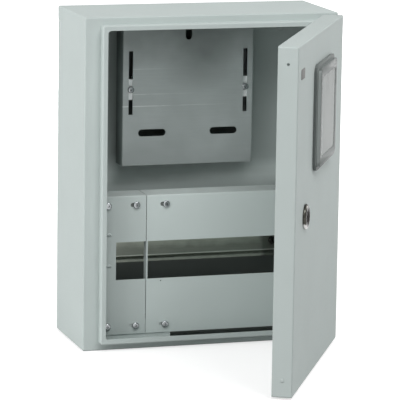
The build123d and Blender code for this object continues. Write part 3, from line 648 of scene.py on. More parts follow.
def paint_plate_shade(material):
    """Painted shade at the meter plate's top and foot and on its folded edges, and a painted dark
    reflection below its hook slot.
    """
    tree = material.node_tree
    place = object_place(tree)
    low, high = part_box("meter_plate")
    middle = (low.z + high.z) / 2
    height = wavy_height(tree, place, *PLATE_SHADE_WAVE)
    start, end, share = PLATE_SHADE_TOP
    top = remap(tree, height, middle + start, high.z - end, 0.0, share)
    end, share = PLATE_SHADE_FOOT
    foot = remap(tree, height, low.z + end, middle, share, 0.0)
    side, drop = PLATE_REFLECTION_PLACE
    reach = distance(tree, place, (side, low.y, high.z - drop))
    dark_reflection = remap(tree, reach, *PLATE_REFLECTION_REACH, PLATE_REFLECTION_SHARE, 0.0)
    start, share = PLATE_SHADE_FOLD
    fold = remap(tree, axes_of(tree, place)[1], low.y + start, high.y, 0.0, share)
    lay_over(material, reckon(tree, "ADD", top, foot, dark_reflection, fold), PLATE_SHADE)


def scratch_plate(material):
    """Long pale scratches across the meter plate's face, from where it slid in its brackets."""
    tree = material.node_tree
    x, y, z = axes_of(tree, object_place(tree))
    low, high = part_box("meter_plate")
    wide, tall = high.x - low.x, high.z - low.z
    marks = grain(tree, object_place(tree, SCRATCH_STRETCH), SCRATCH_GRAIN, detail=3.0, roughness=0.7)
    broken = remap(tree, marks, *SCRATCH_BREAKS)
    face = remap(tree, y, *(low.y + depth for depth in PLATE_FACE), 1.0, 0.0)
    for rise, start, reach, strength in SCRATCHES:
        height = low.z + rise * tall
        left = low.x + start * wide
        line = between(tree, z, height, height, SCRATCH_WIDTH)
        begun = remap(tree, x, left - SCRATCH_START, left, 0.0, 1.0)
        fading = remap(tree, x, left, left + reach * wide, strength, 0.0)
        lay_over(material, reckon(tree, "MULTIPLY", line, fading, broken, begun, face), SCRATCH_COLOUR)


def bright_plating(name, colour, rough):
    """Bright plating on a small turned or pressed piece, faintly brushed."""
    material, tree, shader = fresh_material(name)
    place = object_place(tree)
    fine = grain(tree, place, PLATING_GRAIN)
    cloud = grain(tree, place, PLATING_CLOUD)
    dullness = spread(tree, fine, *(rough * share for share in PLATING_ROUGH))
    tint(tree, shader, cloud, colour, PLATING_SHADES, dullness)
    shader.inputs["Metallic"].default_value = 1.0
    raise_surface(tree, shader, fine, PLATING_DEPTH, PLATING_RELIEF)
    return material


def lock_plating_painted_reflection(name, bright, dark, middle):
    """Lock plating with a painted dark reflection on the head above the plug, and bright chrome only below
    it.
    """
    material = bright_plating(name, bright, rough=0.16)
    tree = material.node_tree
    height = wavy_height(tree, object_place(tree), *REFLECTION_WAVE)
    lay_over(material, remap(tree, height, middle - REFLECTION_END, middle - REFLECTION_START, 0.0, 1.0), dark)
    return material


def paint_rail_light(material):
    """Painted shade low on the rail's web, a painted shadow at its right end, and a painted highlight along
    its lower bend.
    """
    tree = material.node_tree
    place = object_place(tree)
    x, _, z = axes_of(tree, place)
    low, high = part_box("din_rail")
    middle = (low.z + high.z) / 2
    foot = middle - RAIL_CROWN / 2
    start, end, soft = RAIL_WEB_SHADE
    web = between(tree, wavy_height(tree, place, *RAIL_SHADE_WAVE), foot + start, middle - end, soft)
    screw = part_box("rail_screw_right")[0].x
    start, end, share = RAIL_END_SHADOW
    right = remap(tree, x, screw - start, screw - end, 0.0, share)
    rail_shade = reckon(tree, "MAXIMUM", reckon(tree, "MULTIPLY", web, RAIL_WEB_SHADE_SHARE), right)
    lay_over(material, rail_shade, RAIL_SHADE)
    bend = foot + RAIL_BEND
    half, soft = RAIL_HIGHLIGHT_LINE
    line = between(tree, z, bend - half, bend + half, soft)
    lay_over(material, reckon(tree, "MULTIPLY", line, RAIL_HIGHLIGHT_SHARE), RAIL_HIGHLIGHT)


def moulded_plastic(name, colour, rough):
    """Moulded plastic with a fine spark-eroded texture."""
    material, tree, shader = fresh_material(name)
    place = object_place(tree)
    fine = grain(tree, place, MOULD_GRAIN)
    cloud = grain(tree, place, MOULD_CLOUD)
    dullness = spread(tree, fine, rough - MOULD_ROUGH, rough + MOULD_ROUGH)
    tint(tree, shader, cloud, colour, MOULD_SHADES, dullness)
    raise_surface(tree, shader, fine, MOULD_DEPTH, MOULD_RELIEF)
    return material


def clear_moulding(name, colour, clearness, bending):
    """Clear, slightly smoked window moulding with faint flow lines."""
    material, tree, shader = fresh_material(name)
    flow = grain(tree, object_place(tree, FLOW_STRETCH), FLOW_LINES)
    tint(tree, shader, flow, colour, FLOW_SHADES, spread(tree, flow, *FLOW_ROUGH))
    shader.inputs["Transmission Weight"].default_value = clearness
    shader.inputs["IOR"].default_value = bending
    return material


def finish(names, material):
    """Gives CAD nodes a material."""
    for name in names:
        for slot in frame["nodes"][name].material_slots:
            slot.material = material


# Modelling


def begin(name):
    """Names the primitive just added and applies its place and size."""
    piece = bpy.context.object
    piece.name = name
    bpy.ops.object.transform_apply(location=True, rotation=True, scale=True)
    return piece


def add_block(name, size, middle):
    """Box of this size around a place, ready to be shaped."""
    bpy.ops.object.select_all(action="DESELECT")
    bpy.ops.mesh.primitive_cube_add(size=1.0, location=middle, scale=size)
    return begin(name)


def add_bar(name, radius, low, high, sides):
    """Round bar along Z between two heights, ready to be shaped."""
    bpy.ops.object.select_all(action="DESELECT")
    bpy.ops.mesh.primitive_cylinder_add(
        vertices=sides, radius=radius, depth=high - low, location=(0.0, 0.0, (low + high) / 2)
    )
    return begin(name)


def choose(piece):
    """Makes a piece the active one and the only one selected."""
    bpy.ops.object.select_all(action="DESELECT")
    bpy.context.view_layer.objects.active = piece
    piece.select_set(True)


def unpick(kind):
    """Leaves nothing of a mesh selected, so that code can then select faces or edges."""
    bpy.ops.object.mode_set(mode="EDIT")
    bpy.ops.mesh.select_mode(type=kind)
    bpy.ops.mesh.select_all(action="DESELECT")
    bpy.ops.object.mode_set(mode="OBJECT")


def pick_faces(piece, test):
    """Edit mode with only the faces selected whose middle and normal pass the test."""
    unpick("FACE")
    for face in piece.data.polygons:
        face.select = test(face.center, face.normal)
    bpy.ops.object.mode_set(mode="EDIT")


def pick_edges(piece, test):
    """Edit mode with only the edges selected whose two ends pass the test."""
    unpick("EDGE")
    points = piece.data.vertices
    for edge in piece.data.edges:
        edge.select = test(*(points[end].co for end in edge.vertices))
    bpy.ops.object.mode_set(mode="EDIT")


def draw_out(height, aside=0.0):
    """Extrudes what is selected along Z, or along Y."""
    bpy.ops.mesh.extrude_region_move(TRANSFORM_OT_translate={"value": (0.0, aside, height)})


def leave(piece, smooth=35.0):
    """Back to object mode, shaded smooth across edges flatter than this angle."""
    bpy.ops.object.mode_set(mode="OBJECT")
    choose(piece)
    bpy.ops.object.shade_smooth_by_angle(angle=math.radians(smooth))


def apply_modifier(piece, kind, **values):
    """Adds a modifier to a piece, sets its values and applies it."""
    choose(piece)
    bpy.ops.object.modifier_add(type=kind)
    modifier = piece.modifiers[-1]
    for name, value in values.items():
        setattr(modifier, name, value)
    bpy.ops.object.modifier_apply(modifier=modifier.name)


def combine(piece, other, operation):
    """Joins another shape to a piece, or cuts it out, and throws the other shape away."""
    apply_modifier(piece, "BOOLEAN", operation=operation, object=other)
    bpy.data.objects.remove(other)


def round_corners(block, tall, radius, segments):
    """Rounds the upright edges of a block of this height."""
    pick_edges(block, lambda start, end: abs(start.z - end.z) > 0.5 * tall)
    bpy.ops.mesh.bevel(offset=radius, segments=segments, affect="EDGES")
    bpy.ops.object.mode_set(mode="OBJECT")


def turn_rings(name, rings, sides):
    """Turned piece along Z: a circle drawn through rings of radius and height."""
    radius, height = rings[0]
    bpy.ops.object.select_all(action="DESELECT")
    bpy.ops.mesh.primitive_circle_add(vertices=sides, radius=radius, location=(0.0, 0.0, height))
    piece = begin(name)
    bpy.ops.object.mode_set(mode="EDIT")
    bpy.ops.mesh.select_mode(type="EDGE")
    bpy.ops.mesh.select_all(action="SELECT")
    for wide, tall in rings[1:]:
        draw_out(tall - height)
        share = wide / radius
        bpy.ops.transform.resize(value=(share, share, 1.0), center_override=(0.0, 0.0, tall))
        radius, height = wide, tall
    bpy.ops.mesh.select_all(action="SELECT")
    bpy.ops.mesh.remove_doubles(threshold=1e-6)
    bpy.ops.mesh.fill_holes(sides=0)
    bpy.ops.mesh.normals_make_consistent(inside=False)
    leave(piece)
    return piece


def thread_rings(low, high, radius, pitch):
    """Rings of a thread between two heights, from the lower end to the upper."""
    depth = 0.5 * pitch
    count = int((high - low) / pitch)
    rings = [(radius - depth, low)]
    for turn in range(count):
        rings.append((radius, low + (turn + 0.5) * pitch))
        rings.append((radius - depth, low + (turn + 1.0) * pitch))
    return rings


def centre(low, high):
    """Middle of a box, across and upwards."""
    return (low.x + high.x) / 2, (low.z + high.z) / 2


def fit(piece, middle, seat, turn=0.0, door=False):
    """Moves a piece that stands on Z = 0 to its seat, facing the front, and swings it with the door."""
    x, z = middle
    place = Matrix.Translation((x, seat, z)) @ FACING @ Matrix.Rotation(turn, 4, "Z")
    piece.data.transform(SWING @ place if door else place)


def copy_piece(template, name):
    """Copy of a piece with its own mesh."""
    piece = template.copy()
    piece.data = template.data.copy()
    piece.name = name
    bpy.context.scene.collection.objects.link(piece)
    return piece


def dress(piece, body, *materials):
    """Gives a piece its materials and the body it moves with."""
    piece.data.materials.clear()
    for material in materials:
        piece.data.materials.append(material)
    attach(piece, body)


def shade_faces(piece, shades):
    """Gives each face of a piece one of its materials, by number."""
    for face, shade in zip(piece.data.polygons, shades):
        face.material_index = shade


def shut_box(node):
    """Box of a node on the door while the door is shut."""
    back = SWING.inverted()
    points = [back @ vertex.co for vertex in frame["nodes"][node].data.vertices]
    low = Vector([min(point[axis] for point in points) for axis in range(3)])
    high = Vector([max(point[axis] for point in points) for axis in range(3)])
    return low, high


# Operators


class ENCLOSURE_OT_paint_case(bpy.types.Operator):
    """Powder coats the cabinet, its door, covers and brackets"""

    bl_idname = "enclosure.paint_case"
    bl_label = "Paint case"

    def execute(self, context):
        settings = context.scene.enclosure_paint
        colour = settings.case_colour
        case = powder_coat("case_powder_coat", colour, settings)
        # Painted shade in the lower bay and round the meter plate, and painted light on the wall strip
        # under the plate
        paint_bay_shade(case, settings.bay_shade_colour)
        finish(CASE_NODES, case)
        # The door's coat is a darker copy of the case's coat, as painted shade
        door = powder_coat("door_powder_coat", scaled(colour, settings.door_shade_share), settings)
        finish(DOOR_NODES, door)
        # The wide cover's coat is a lighter copy of the case's coat, as painted light
        for cover, share in (("narrow_cover", 1.0), ("wide_cover", settings.wide_cover_light_share)):
            coat = powder_coat(cover + "_coat", scaled(colour, share), settings)
            # Painted shade on the upward face of each cover's top fold
            paint_cover_top_shade(coat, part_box(cover)[1].z)
            finish((cover,), coat)
        lower = powder_coat("bracket_powder_coat", colour, settings)
        finish(node_names("cover_bracket_lower"), lower)
        # Painted shade: the upper brackets take the dark bay colour, so the cover slots in front of them
        # read dark
        upper = powder_coat("bracket_primer", settings.bay_shade_colour, settings)
        finish(node_names("cover_bracket_upper"), upper)
        return {"FINISHED"}


class ENCLOSURE_OT_plate_metal(bpy.types.Operator):
    """Gives the meter plate, brackets, hinges, earth washer and earth nut their metal"""

    bl_idname = "enclosure.plate_metal"
    bl_label = "Plate metal"

    def execute(self, context):
        settings = context.scene.enclosure_metal
        zinc = settings.zinc_colour
        plate = zinc_sheet("meter_plate_zinc", zinc, "x", metallic=0.45, rough=0.46, contrast=0.04)
        # Painted shade and a painted dark reflection on the meter plate
        paint_plate_shade(plate)
        scratch_plate(plate)
        finish(("meter_plate",), plate)
        pale = scaled(zinc, BRACKET_SHADE)
        bracket = zinc_sheet("plate_bracket_zinc", pale, "z", metallic=0.45, rough=0.35)
        finish(node_names("plate_bracket"), bracket)
        rail = zinc_sheet("rail_bracket_zinc", settings.rail_colour, "x", metallic=0.6, rough=0.4)
        finish(node_names("rail_bracket"), rail)
        hinge = zinc_sheet("hinge_zinc", zinc, "z", metallic=0.8, rough=0.35)
        finish(node_names("hinge_"), hinge)
        earth = bright_plating("earth_zinc", settings.screw_colour, rough=0.3)
        finish(("earth_washer", "earth_nut"), earth)
        return {"FINISHED"}


def model_screw(name, head, rise, shank, reach, settings):
    """Pan-head screw that stands on its seat at Z = 0, with a cross recess in its head."""
    screw = add_bar(name, head / 2, 0.0, rise, sides=40)
    pick_faces(screw, lambda middle, normal: normal.z < -NEARLY)
    bpy.ops.mesh.inset(thickness=(head - shank) / 2)
    draw_out(-reach)
    bpy.ops.mesh.bevel(offset=SCREW_TIP * shank, segments=1, affect="EDGES")
    pick_faces(screw, lambda middle, normal: normal.z > NEARLY)
    bpy.ops.mesh.bevel(offset=settings.dome * rise, segments=6, affect="EDGES")
    bpy.ops.object.mode_set(mode="OBJECT")
    depth = RECESS_DEPTH * rise
    for turn in (0.0, math.radians(90.0)):
        size = (settings.recess_reach * head, settings.recess_width, 2 * depth)
        blade = add_block("recess_blade", size, (0.0, 0.0, rise))
        pick_faces(blade, lambda middle, normal: normal.z < -NEARLY)
        bpy.ops.transform.resize(value=RECESS_FLOOR, center_override=(0.0, 0.0, rise - depth))
        bpy.ops.mesh.select_all(action="SELECT")
        bpy.ops.transform.rotate(value=turn, orient_axis="Z", center_override=(0.0, 0.0, 0.0))
        bpy.ops.object.mode_set(mode="OBJECT")
        combine(screw, blade, "DIFFERENCE")
    leave(screw)
    return screw


class ENCLOSURE_OT_drive_screws(bpy.types.Operator):
    """Puts domed cross-recess screws in the covers, meter plate and rail"""

    bl_idname = "enclosure.drive_screws"
    bl_label = "Drive screws"

    def execute(self, context):
        settings = context.scene.enclosure_fittings
        metal = context.scene.enclosure_metal
        zinc = bright_plating("screw_plating", metal.screw_colour, rough=0.22)
        black = bright_plating("rail_screw_plating", metal.rail_screw_colour, rough=0.4)
        groups = (
            ("cover_screw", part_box("wide_cover")[0].y, zinc),
            ("plate_screw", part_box("meter_plate")[0].y, zinc),
            ("rail_screw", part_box("din_rail")[1].y - RAIL_SHEET, black),
        )
        for start, seat, plating in groups:
            nodes = sorted(node_names(start))
            low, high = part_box(nodes[0])
            head = high.x - low.x
            shank = SHANK_SHARE * head
            template = model_screw(start + "_template", head, seat - low.y, shank, high.y - seat, settings)
            for count, node in enumerate(nodes):
                screw = copy_piece(template, node + "_cross_head")
                fit(screw, centre(*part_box(node)), seat, math.radians(SCREW_TURN * (count + 1)))
                dress(screw, "cabinet", plating)
                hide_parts(node)
            bpy.data.objects.remove(template)
        return {"FINISHED"}


class ENCLOSURE_OT_form_rail(bpy.types.Operator):
    """Roll-forms the device rail with soft bends"""

    bl_idname = "enclosure.form_rail"
    bl_label = "Form rail"

    def execute(self, context):
        low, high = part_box("din_rail")
        long, deep, tall = high.x - low.x, high.y - low.y, high.z - low.z
        half_web = RAIL_CROWN / 2
        lip = (tall - RAIL_CROWN) / 2
        bpy.ops.object.select_all(action="DESELECT")
        bpy.ops.mesh.primitive_plane_add(size=1.0)
        bpy.ops.transform.resize(value=(long, RAIL_CROWN, 1.0))
        rail = begin("device_rail_formed")
        for side in (1.0, -1.0):
            pick_edges(rail, lambda start, end: min(side * start.y, side * end.y) > NEARLY * half_web)
            draw_out(deep - RAIL_SHEET)
            draw_out(0.0, aside=side * lip)
            bpy.ops.object.mode_set(mode="OBJECT")
        pick_edges(
            rail,
            lambda start, end: abs(start.x - end.x) > NEARLY * long and NEARLY * abs(start.y) < half_web,
        )
        bpy.ops.mesh.bevel(offset=RAIL_BEND, segments=4, affect="EDGES")
        bpy.ops.object.mode_set(mode="OBJECT")
        apply_modifier(rail, "SOLIDIFY", thickness=RAIL_SHEET, offset=1.0)
        leave(rail, smooth=60.0)
        fit(rail, centre(low, high), high.y)
        colour = context.scene.enclosure_metal.rail_colour
        zinc = zinc_sheet("rail_zinc", colour, "x", metallic=0.7, rough=0.36)
        # Painted shade, shadow and highlight on the rail
        paint_rail_light(zinc)
        dress(rail, "cabinet", zinc)
        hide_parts("din_rail")
        return {"FINISHED"}


class ENCLOSURE_OT_thread_stud(bpy.types.Operator):
    """Threads the earth stud"""

    bl_idname = "enclosure.thread_stud"
    bl_label = "Thread earth stud"

    def execute(self, context):
        brass = bright_plating("earth_brass", context.scene.enclosure_metal.brass_colour, rough=0.3)
        pitch = context.scene.enclosure_fittings.thread_pitch
        low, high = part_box("earth_stud")
        radius = (high.x - low.x) / 2
        end = high.y - low.y
        rings = thread_rings(0.0, end - pitch, radius, pitch)
        stud = turn_rings("earth_stud_threaded", rings + [(radius - pitch, end)], sides=32)
        fit(stud, centre(low, high), high.y)
        dress(stud, "cabinet", brass)
        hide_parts("earth_stud")
        return {"FINISHED"}


class ENCLOSURE_OT_fit_lock(bpy.types.Operator):
    """Turns the lock's chromed head and slotted plug and plates its nut, cam and screw"""

    bl_idname = "enclosure.fit_lock"
    bl_label = "Fit lock"

    def execute(self, context):
        metal = context.scene.enclosure_metal
        pitch = context.scene.enclosure_fittings.thread_pitch
        low, high = shut_box("lock_body")
        plug_low, plug_high = shut_box("lock_plug")
        door_face = shut_box("door_panel")[0].y
        middle = centre(low, high)
        head, rise = (high.x - low.x) / 2, door_face - low.y
        bore = (plug_high.x - plug_low.x) / 2
        barrel, depth = LOCK_BARREL / 2, high.y - door_face
        inner = bore + LOCK_FIT
        wall = LOCK_WALL * rise
        thread = thread_rings(-depth, -LOCK_NECK * pitch, barrel, pitch)
        rings = [(inner, -depth), *thread, (barrel, -pitch), (barrel, 0.0), (head, 0.0), (head, wall)]
        for step in range(1, LOCK_STEPS + 1):
            angle = math.radians(90.0 * step / LOCK_STEPS)
            inset = (rise - wall) * (1.0 - math.cos(angle))
            rings.append((head - inset, wall + (rise - wall) * math.sin(angle)))
        rings += [(out * head, up * rise) for out, up in LOCK_RIM]
        rings += [(inner, LOCK_FLOOR * rise), (inner, -depth)]
        body = turn_rings("lock_head_chrome", rings, sides=80)
        faces = [face.center for face in body.data.polygons]
        well = [int(place.xy.length < LOCK_WELL * head and place.z > 0.0) for place in faces]
        fit(body, middle, door_face, door=True)
        # Painted dark reflection on the upper part of the lock head
        chrome = lock_plating_painted_reflection("lock_head_plating", metal.chrome_colour, metal.chrome_dark_reflection_colour, middle[1])
        # Painted shade: near-black well inside the lock head's rim
        dark = bright_plating("lock_well_plating", metal.well_shade_colour, rough=0.22)
        dress(body, "door_leaf", chrome, dark)
        shade_faces(body, well)
        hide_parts("lock_body")
        plug = self.turn_plug(bore, KEY_FACE * rise, plug_high.y - door_face, depth)
        fit(plug, middle, door_face, door=True)
        # Painted shade: near-black plug
        dress(plug, "lock", bright_plating("lock_plug_plating", metal.well_shade_colour, rough=0.22))
        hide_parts("lock_plug")
        zinc = bright_plating("lock_zinc", metal.screw_colour, rough=0.28)
        finish(("lock_nut", "lock_cam", "lock_cam_screw"), zinc)
        return {"FINISHED"}

    def turn_plug(self, bore, face, tail_end, depth):
        """Slotted plug with a stepped rim and the stub that carries the cam."""
        tail = CAM_TAIL / 2
        ledge = face - KEY_STEP
        chamfer, drop = KEY_CHAMFER
        rings = [(tail, -tail_end), (tail, -depth), (bore, -depth), (bore, ledge - drop)]
        rings += [(bore - chamfer, ledge), (bore - KEY_RIM, ledge), (bore - KEY_RIM - KEY_STEP, face)]
        plug = turn_rings("lock_plug_slotted", rings, sides=64)
        ward_side = 0.5 * (KEY_SLOT[0] + KEY_WARD[0]) - KEY_OVERLAP
        for size, side in ((KEY_SLOT, 0.0), (KEY_WARD, ward_side)):
            combine(plug, add_block("key_blade", size, (side, 0.0, face)), "DIFFERENCE")
        leave(plug)
        return plug


def add_tier(name, low, high, inset, level, top, corner):
    """Rounded block as wide and high as a box of the door, set in from it, between two heights."""
    size = (high.x - low.x - 2 * inset, high.z - low.z - 2 * inset, top - level)
    tier = add_block(name, size, (0.0, 0.0, (level + top) / 2))
    round_corners(tier, size[2], corner, segments=8)
    return tier


class ENCLOSURE_OT_mould_window(bpy.types.Operator):
    """Moulds the window's stepped rim with soft edges, clears its pane and greys its retaining frame"""

    bl_idname = "enclosure.mould_window"
    bl_label = "Mould window"

    def execute(self, context):
        plastic = context.scene.enclosure_plastic
        edge = context.scene.enclosure_fittings.window_round
        low, high = shut_box("window_frame")
        pane_back = shut_box("window_pane")[1].y
        door_face = shut_box("door_panel")[0].y
        rise, drop, seat = door_face - low.y, high.y - door_face, door_face - pane_back
        lap = 0.5 * WINDOW_FLANGE
        clear = WINDOW_SPIGOT + SPIGOT_WALL
        rim = add_tier("window_rim", low, high, 0.0, 0.0, WINDOW_FLANGE, WINDOW_CORNER)
        tiers = (
            ("raised_rim", WINDOW_STEP, lap, rise, RIM_CORNER, "UNION"),
            ("spigot", WINDOW_SPIGOT, -drop, lap, RIM_CORNER, "UNION"),
            ("pane_pocket", clear - PANE_LEDGE, seat, 2 * rise, PANE_CORNER, "DIFFERENCE"),
            ("opening", clear, -2 * drop, 2 * rise, PANE_CORNER - PANE_LEDGE, "DIFFERENCE"),
        )
        for name, inset, level, top, corner, operation in tiers:
            combine(rim, add_tier(name, low, high, inset, level, top, corner), operation)
        apply_modifier(
            rim, "BEVEL", width=edge, segments=3, limit_method="ANGLE", angle_limit=math.radians(40.0)
        )
        leave(rim)
        shades = [self.pick_shade(face, edge) for face in rim.data.polygons]
        fit(rim, centre(low, high), door_face, door=True)
        walls = clear_moulding("window_smoke", plastic.frame_colour, clearness=0.3, bending=1.15)
        # The flange, and the crest with the upper walls, take darker copies of the smoke as painted shade
        flange = clear_moulding("window_flange_smoke", plastic.flange_shade_colour, clearness=0.3, bending=1.15)
        crest = clear_moulding("window_crest_smoke", plastic.crest_shade_colour, clearness=0.05, bending=1.05)
        dress(rim, "door_leaf", walls, flange, crest)
        shade_faces(rim, shades)
        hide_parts("window_frame")
        pane = clear_moulding("window_clear", plastic.window_colour, clearness=0.4, bending=1.12)
        finish(("window_pane",), pane)
        retainer = moulded_plastic("retainer_plastic", plastic.retainer_colour, rough=0.5)
        finish(("window_retainer",), retainer)
        return {"FINISHED"}

    def pick_shade(self, face, edge):
        """Number of a face's material: 0 on the rim's walls, 1 on its flange, 2 on its crest and top; 1 and
        2 are darker copies, as painted shade.
        """
        if face.center.z > 0.0 and max(face.normal.y, face.normal.z) > CREST_TILT:
            return 2
        return 1 if 0.0 < face.center.z < WINDOW_FLANGE - edge else 0


class ENCLOSURE_OT_fix_blank(bpy.types.Operator):
    """Fixes the blank plate to the door"""

    bl_idname = "enclosure.fix_blank"
    bl_label = "Fix blank plate"

    def execute(self, context):
        settings = context.scene.enclosure_fittings
        low, high = shut_box("door_panel")
        thick = settings.blank_size[2]
        blank = add_block("blank_plate", settings.blank_size, (0.0, 0.0, thick / 2))
        round_corners(blank, thick, BLANK_CORNER, segments=5)
        pick_faces(blank, lambda middle, normal: normal.z > NEARLY)
        bpy.ops.mesh.bevel(offset=BLANK_EDGE * thick, segments=2, affect="EDGES")
        leave(blank)
        middle = (low.x + settings.blank_side, high.z - settings.blank_drop)
        fit(blank, middle, low.y, door=True)
        colour = context.scene.enclosure_metal.blank_colour
        dress(blank, "door_leaf", powder_coat("blank_coat", colour, context.scene.enclosure_paint))
        return {"FINISHED"}


class ENCLOSURE_OT_plug_holes(bpy.types.Operator):
    """Pushes plugs into the wall holes and the lower hole in the door's free edge"""

    bl_idname = "enclosure.plug_holes"
    bl_label = "Plug holes"

    def execute(self, context):
        grey = moulded_plastic("plug_plastic", context.scene.enclosure_plastic.plug_colour, rough=0.5)
        template = self.model_plug("wall_plug_template", WALL_HOLE / 2, WALL_PLUG_HEAD / 2, CASE_SHEET)
        across, up = (pitch / 2 for pitch in WALL_HOLE_PITCH)
        places = [(side * across, end * up) for end in (1, -1) for side in (-1, 1)]
        for count, place in enumerate(places):
            plug = copy_piece(template, "wall_plug_%d" % (count + 1))
            fit(plug, place, -CASE_SHEET)
            dress(plug, "cabinet", grey)
        bpy.data.objects.remove(template)
        low = shut_box("door_rim")[0]
        plug = self.model_plug("edge_plug", EDGE_HOLE / 2, EDGE_PLUG_HEAD / 2, CASE_SHEET)
        aside = Matrix.Rotation(math.radians(-90.0), 4, "Y")
        plug.data.transform(SWING @ Matrix.Translation((low.x, HINGE.y, low.z + EDGE_HOLE_END)) @ aside)
        dress(plug, "door_leaf", grey)
        return {"FINISHED"}

    def model_plug(self, name, bore, head, depth):
        """Push-in plug with a low domed head on Z = 0 and a stub in the sheet below it."""
        stub = bore - PLUG_FIT
        wall = PLUG_WALL * PLUG_RISE
        narrow, tip = PLUG_TIP
        rings = [(narrow * stub, -depth), (stub, -tip * depth), (stub, 0.0), (head, 0.0), (head, wall)]
        for degrees in range(PLUG_STEP, 90, PLUG_STEP):
            angle = math.radians(degrees)
            rings.append((head * math.cos(angle), wall + (PLUG_RISE - wall) * math.sin(angle)))
        return turn_rings(name, rings, sides=32)


# Stage


def aim_lamp(name, place, size, power):
    """Square soft lamp that shines from a place at the enclosure."""
    lamp = bpy.data.lights.new(name, "AREA")
    lamp.shape = "SQUARE"
    lamp.size = size
    lamp.energy = power
    holder = bpy.data.objects.new(name, lamp)
    bpy.context.scene.collection.objects.link(holder)
    holder.location = place
    holder.rotation_euler = (Vector(LAMP_TARGET) - Vector(place)).to_track_quat("-Z", "Y").to_euler()


def seen_white(tree):
    """One for the camera, gloss and glass, which see the studio plain white."""
    path = tree.nodes.new("ShaderNodeLightPath")
    rays = (path.outputs[ray] for ray in ("Is Camera Ray", "Is Transmission Ray", "Is Glossy Ray"))
    return reckon(tree, "MAXIMUM", *rays)


def light_room(strength):
    """Even room light; the camera, gloss and glass see plain white."""
    world = bpy.data.worlds.new("studio_room")
    world.use_nodes = True
    tree = world.node_tree
    background = tree.nodes["Background"]
    tree.links.new(remap(tree, seen_white(tree), 0.0, 1.0, strength, 1.0), background.inputs["Strength"])
    background.inputs["Color"].default_value = (1.0, 1.0, 1.0, 1.0)
    bpy.context.scene.world = world


def lay_floor(level):
    """Plain pale floor under the cabinet."""
    bpy.ops.object.select_all(action="DESELECT")
    bpy.ops.mesh.primitive_plane_add(size=FLOOR_SIZE, location=(0.0, 0.0, level))
    floor = begin("studio_floor")
    material, tree, shader = fresh_material("studio_floor_white")
    place = object_place(tree)
    greys = ((grey, grey, grey) for grey in FLOOR_GREYS)
    pale = colour_between(tree, grain(tree, place, FLOOR_CLOUD), *greys)
    tree.links.new(pale, shader.inputs["Base Color"])
    shader.inputs["Roughness"].default_value = FLOOR_ROUGH
    glow = remap(tree, distance(tree, place, (0.0, 0.0, 0.0)), *GLOW_REACH, *GLOW)
    shader.inputs["Emission Color"].default_value = (1.0, 1.0, 1.0, 1.0)
    strength = reckon(tree, "MULTIPLY", seen_white(tree), glow)
    tree.links.new(strength, shader.inputs["Emission Strength"])
    floor.data.materials.append(material)


class ENCLOSURE_OT_set_stage(bpy.types.Operator):
    """Places the camera, lamps and floor"""

    bl_idname = "enclosure.set_stage"
    bl_label = "Set stage"

    def execute(self, context):
        settings = context.scene.enclosure_stage
        turn, tilt, roll = settings.heading, settings.tilt, settings.roll
        level = Vector((math.sin(turn), math.cos(turn), 0.0))
        up = Vector((0.0, 0.0, 1.0))
        forward = math.cos(tilt) * level - math.sin(tilt) * up
        top = math.sin(tilt) * level + math.cos(tilt) * up
        side = Vector((math.cos(turn), -math.sin(turn), 0.0))
        right = math.cos(roll) * side + math.sin(roll) * top
        top = math.cos(roll) * top - math.sin(roll) * side
        camera = bpy.data.cameras.new("photo_camera")
        camera.sensor_width = SENSOR_WIDTH
        camera.lens = settings.lens
        camera.clip_end = VIEW_END
        holder = bpy.data.objects.new("photo_camera", camera)
        context.scene.collection.objects.link(holder)
        axes = Matrix((right, top, -forward)).transposed().to_4x4()
        holder.matrix_world = Matrix.Translation(Vector(settings.eye)) @ axes
        context.scene.camera = holder
        context.scene.view_settings.view_transform = "Standard"
        light_room(settings.sky)
        for name, place, size in LAMPS:
            aim_lamp(name + "_lamp", place, size, getattr(settings, name + "_power"))
        lay_floor(CAD_LOW[2] - FLOOR_GAP)
        return {"FINISHED"}


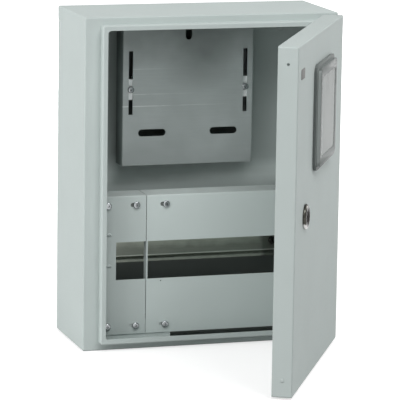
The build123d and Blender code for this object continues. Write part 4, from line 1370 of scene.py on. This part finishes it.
class ENCLOSURE_PT_sidebar(bpy.types.Panel):
    """Lists the enclosure's settings and steps"""

    bl_idname = "ENCLOSURE_PT_sidebar"
    bl_label = "Enclosure"
    bl_space_type = "VIEW_3D"
    bl_region_type = "UI"
    bl_category = "Enclosure"

    def draw(self, context):
        for group in SETTINGS:
            box = self.layout.box()
            for field in SETTINGS[group].__annotations__:
                box.prop(getattr(context.scene, group), field)
        for operator in STEPS:
            self.layout.operator(operator.bl_idname)


SETTINGS = {
    "enclosure_paint": EnclosurePaint,
    "enclosure_metal": EnclosureMetal,
    "enclosure_plastic": EnclosurePlastic,
    "enclosure_fittings": EnclosureFittings,
    "enclosure_stage": EnclosureStage,
}
STEPS = (
    ENCLOSURE_OT_paint_case,
    ENCLOSURE_OT_plate_metal,
    ENCLOSURE_OT_drive_screws,
    ENCLOSURE_OT_form_rail,
    ENCLOSURE_OT_thread_stud,
    ENCLOSURE_OT_fit_lock,
    ENCLOSURE_OT_mould_window,
    ENCLOSURE_OT_fix_blank,
    ENCLOSURE_OT_plug_holes,
    ENCLOSURE_OT_set_stage,
)


def register():
    """Registers the settings, steps and panel."""
    for group, kind in SETTINGS.items():
        bpy.utils.register_class(kind)
        setattr(bpy.types.Scene, group, bpy.props.PointerProperty(type=kind))
    for kind in (*STEPS, ENCLOSURE_PT_sidebar):
        bpy.utils.register_class(kind)


def unregister():
    """Takes the panel, steps and settings out again."""
    for kind in (ENCLOSURE_PT_sidebar, *reversed(STEPS)):
        bpy.utils.unregister_class(kind)
    for group, kind in SETTINGS.items():
        delattr(bpy.types.Scene, group)
        bpy.utils.unregister_class(kind)


def main():
    """Runs every step in order."""
    register()
    bpy.ops.enclosure.paint_case()
    bpy.ops.enclosure.plate_metal()
    bpy.ops.enclosure.drive_screws()
    bpy.ops.enclosure.form_rail()
    bpy.ops.enclosure.thread_stud()
    bpy.ops.enclosure.fit_lock()
    bpy.ops.enclosure.mould_window()
    bpy.ops.enclosure.fix_blank()
    bpy.ops.enclosure.plug_holes()
    bpy.ops.enclosure.set_stage()


if __name__ == "__main__":
    main()
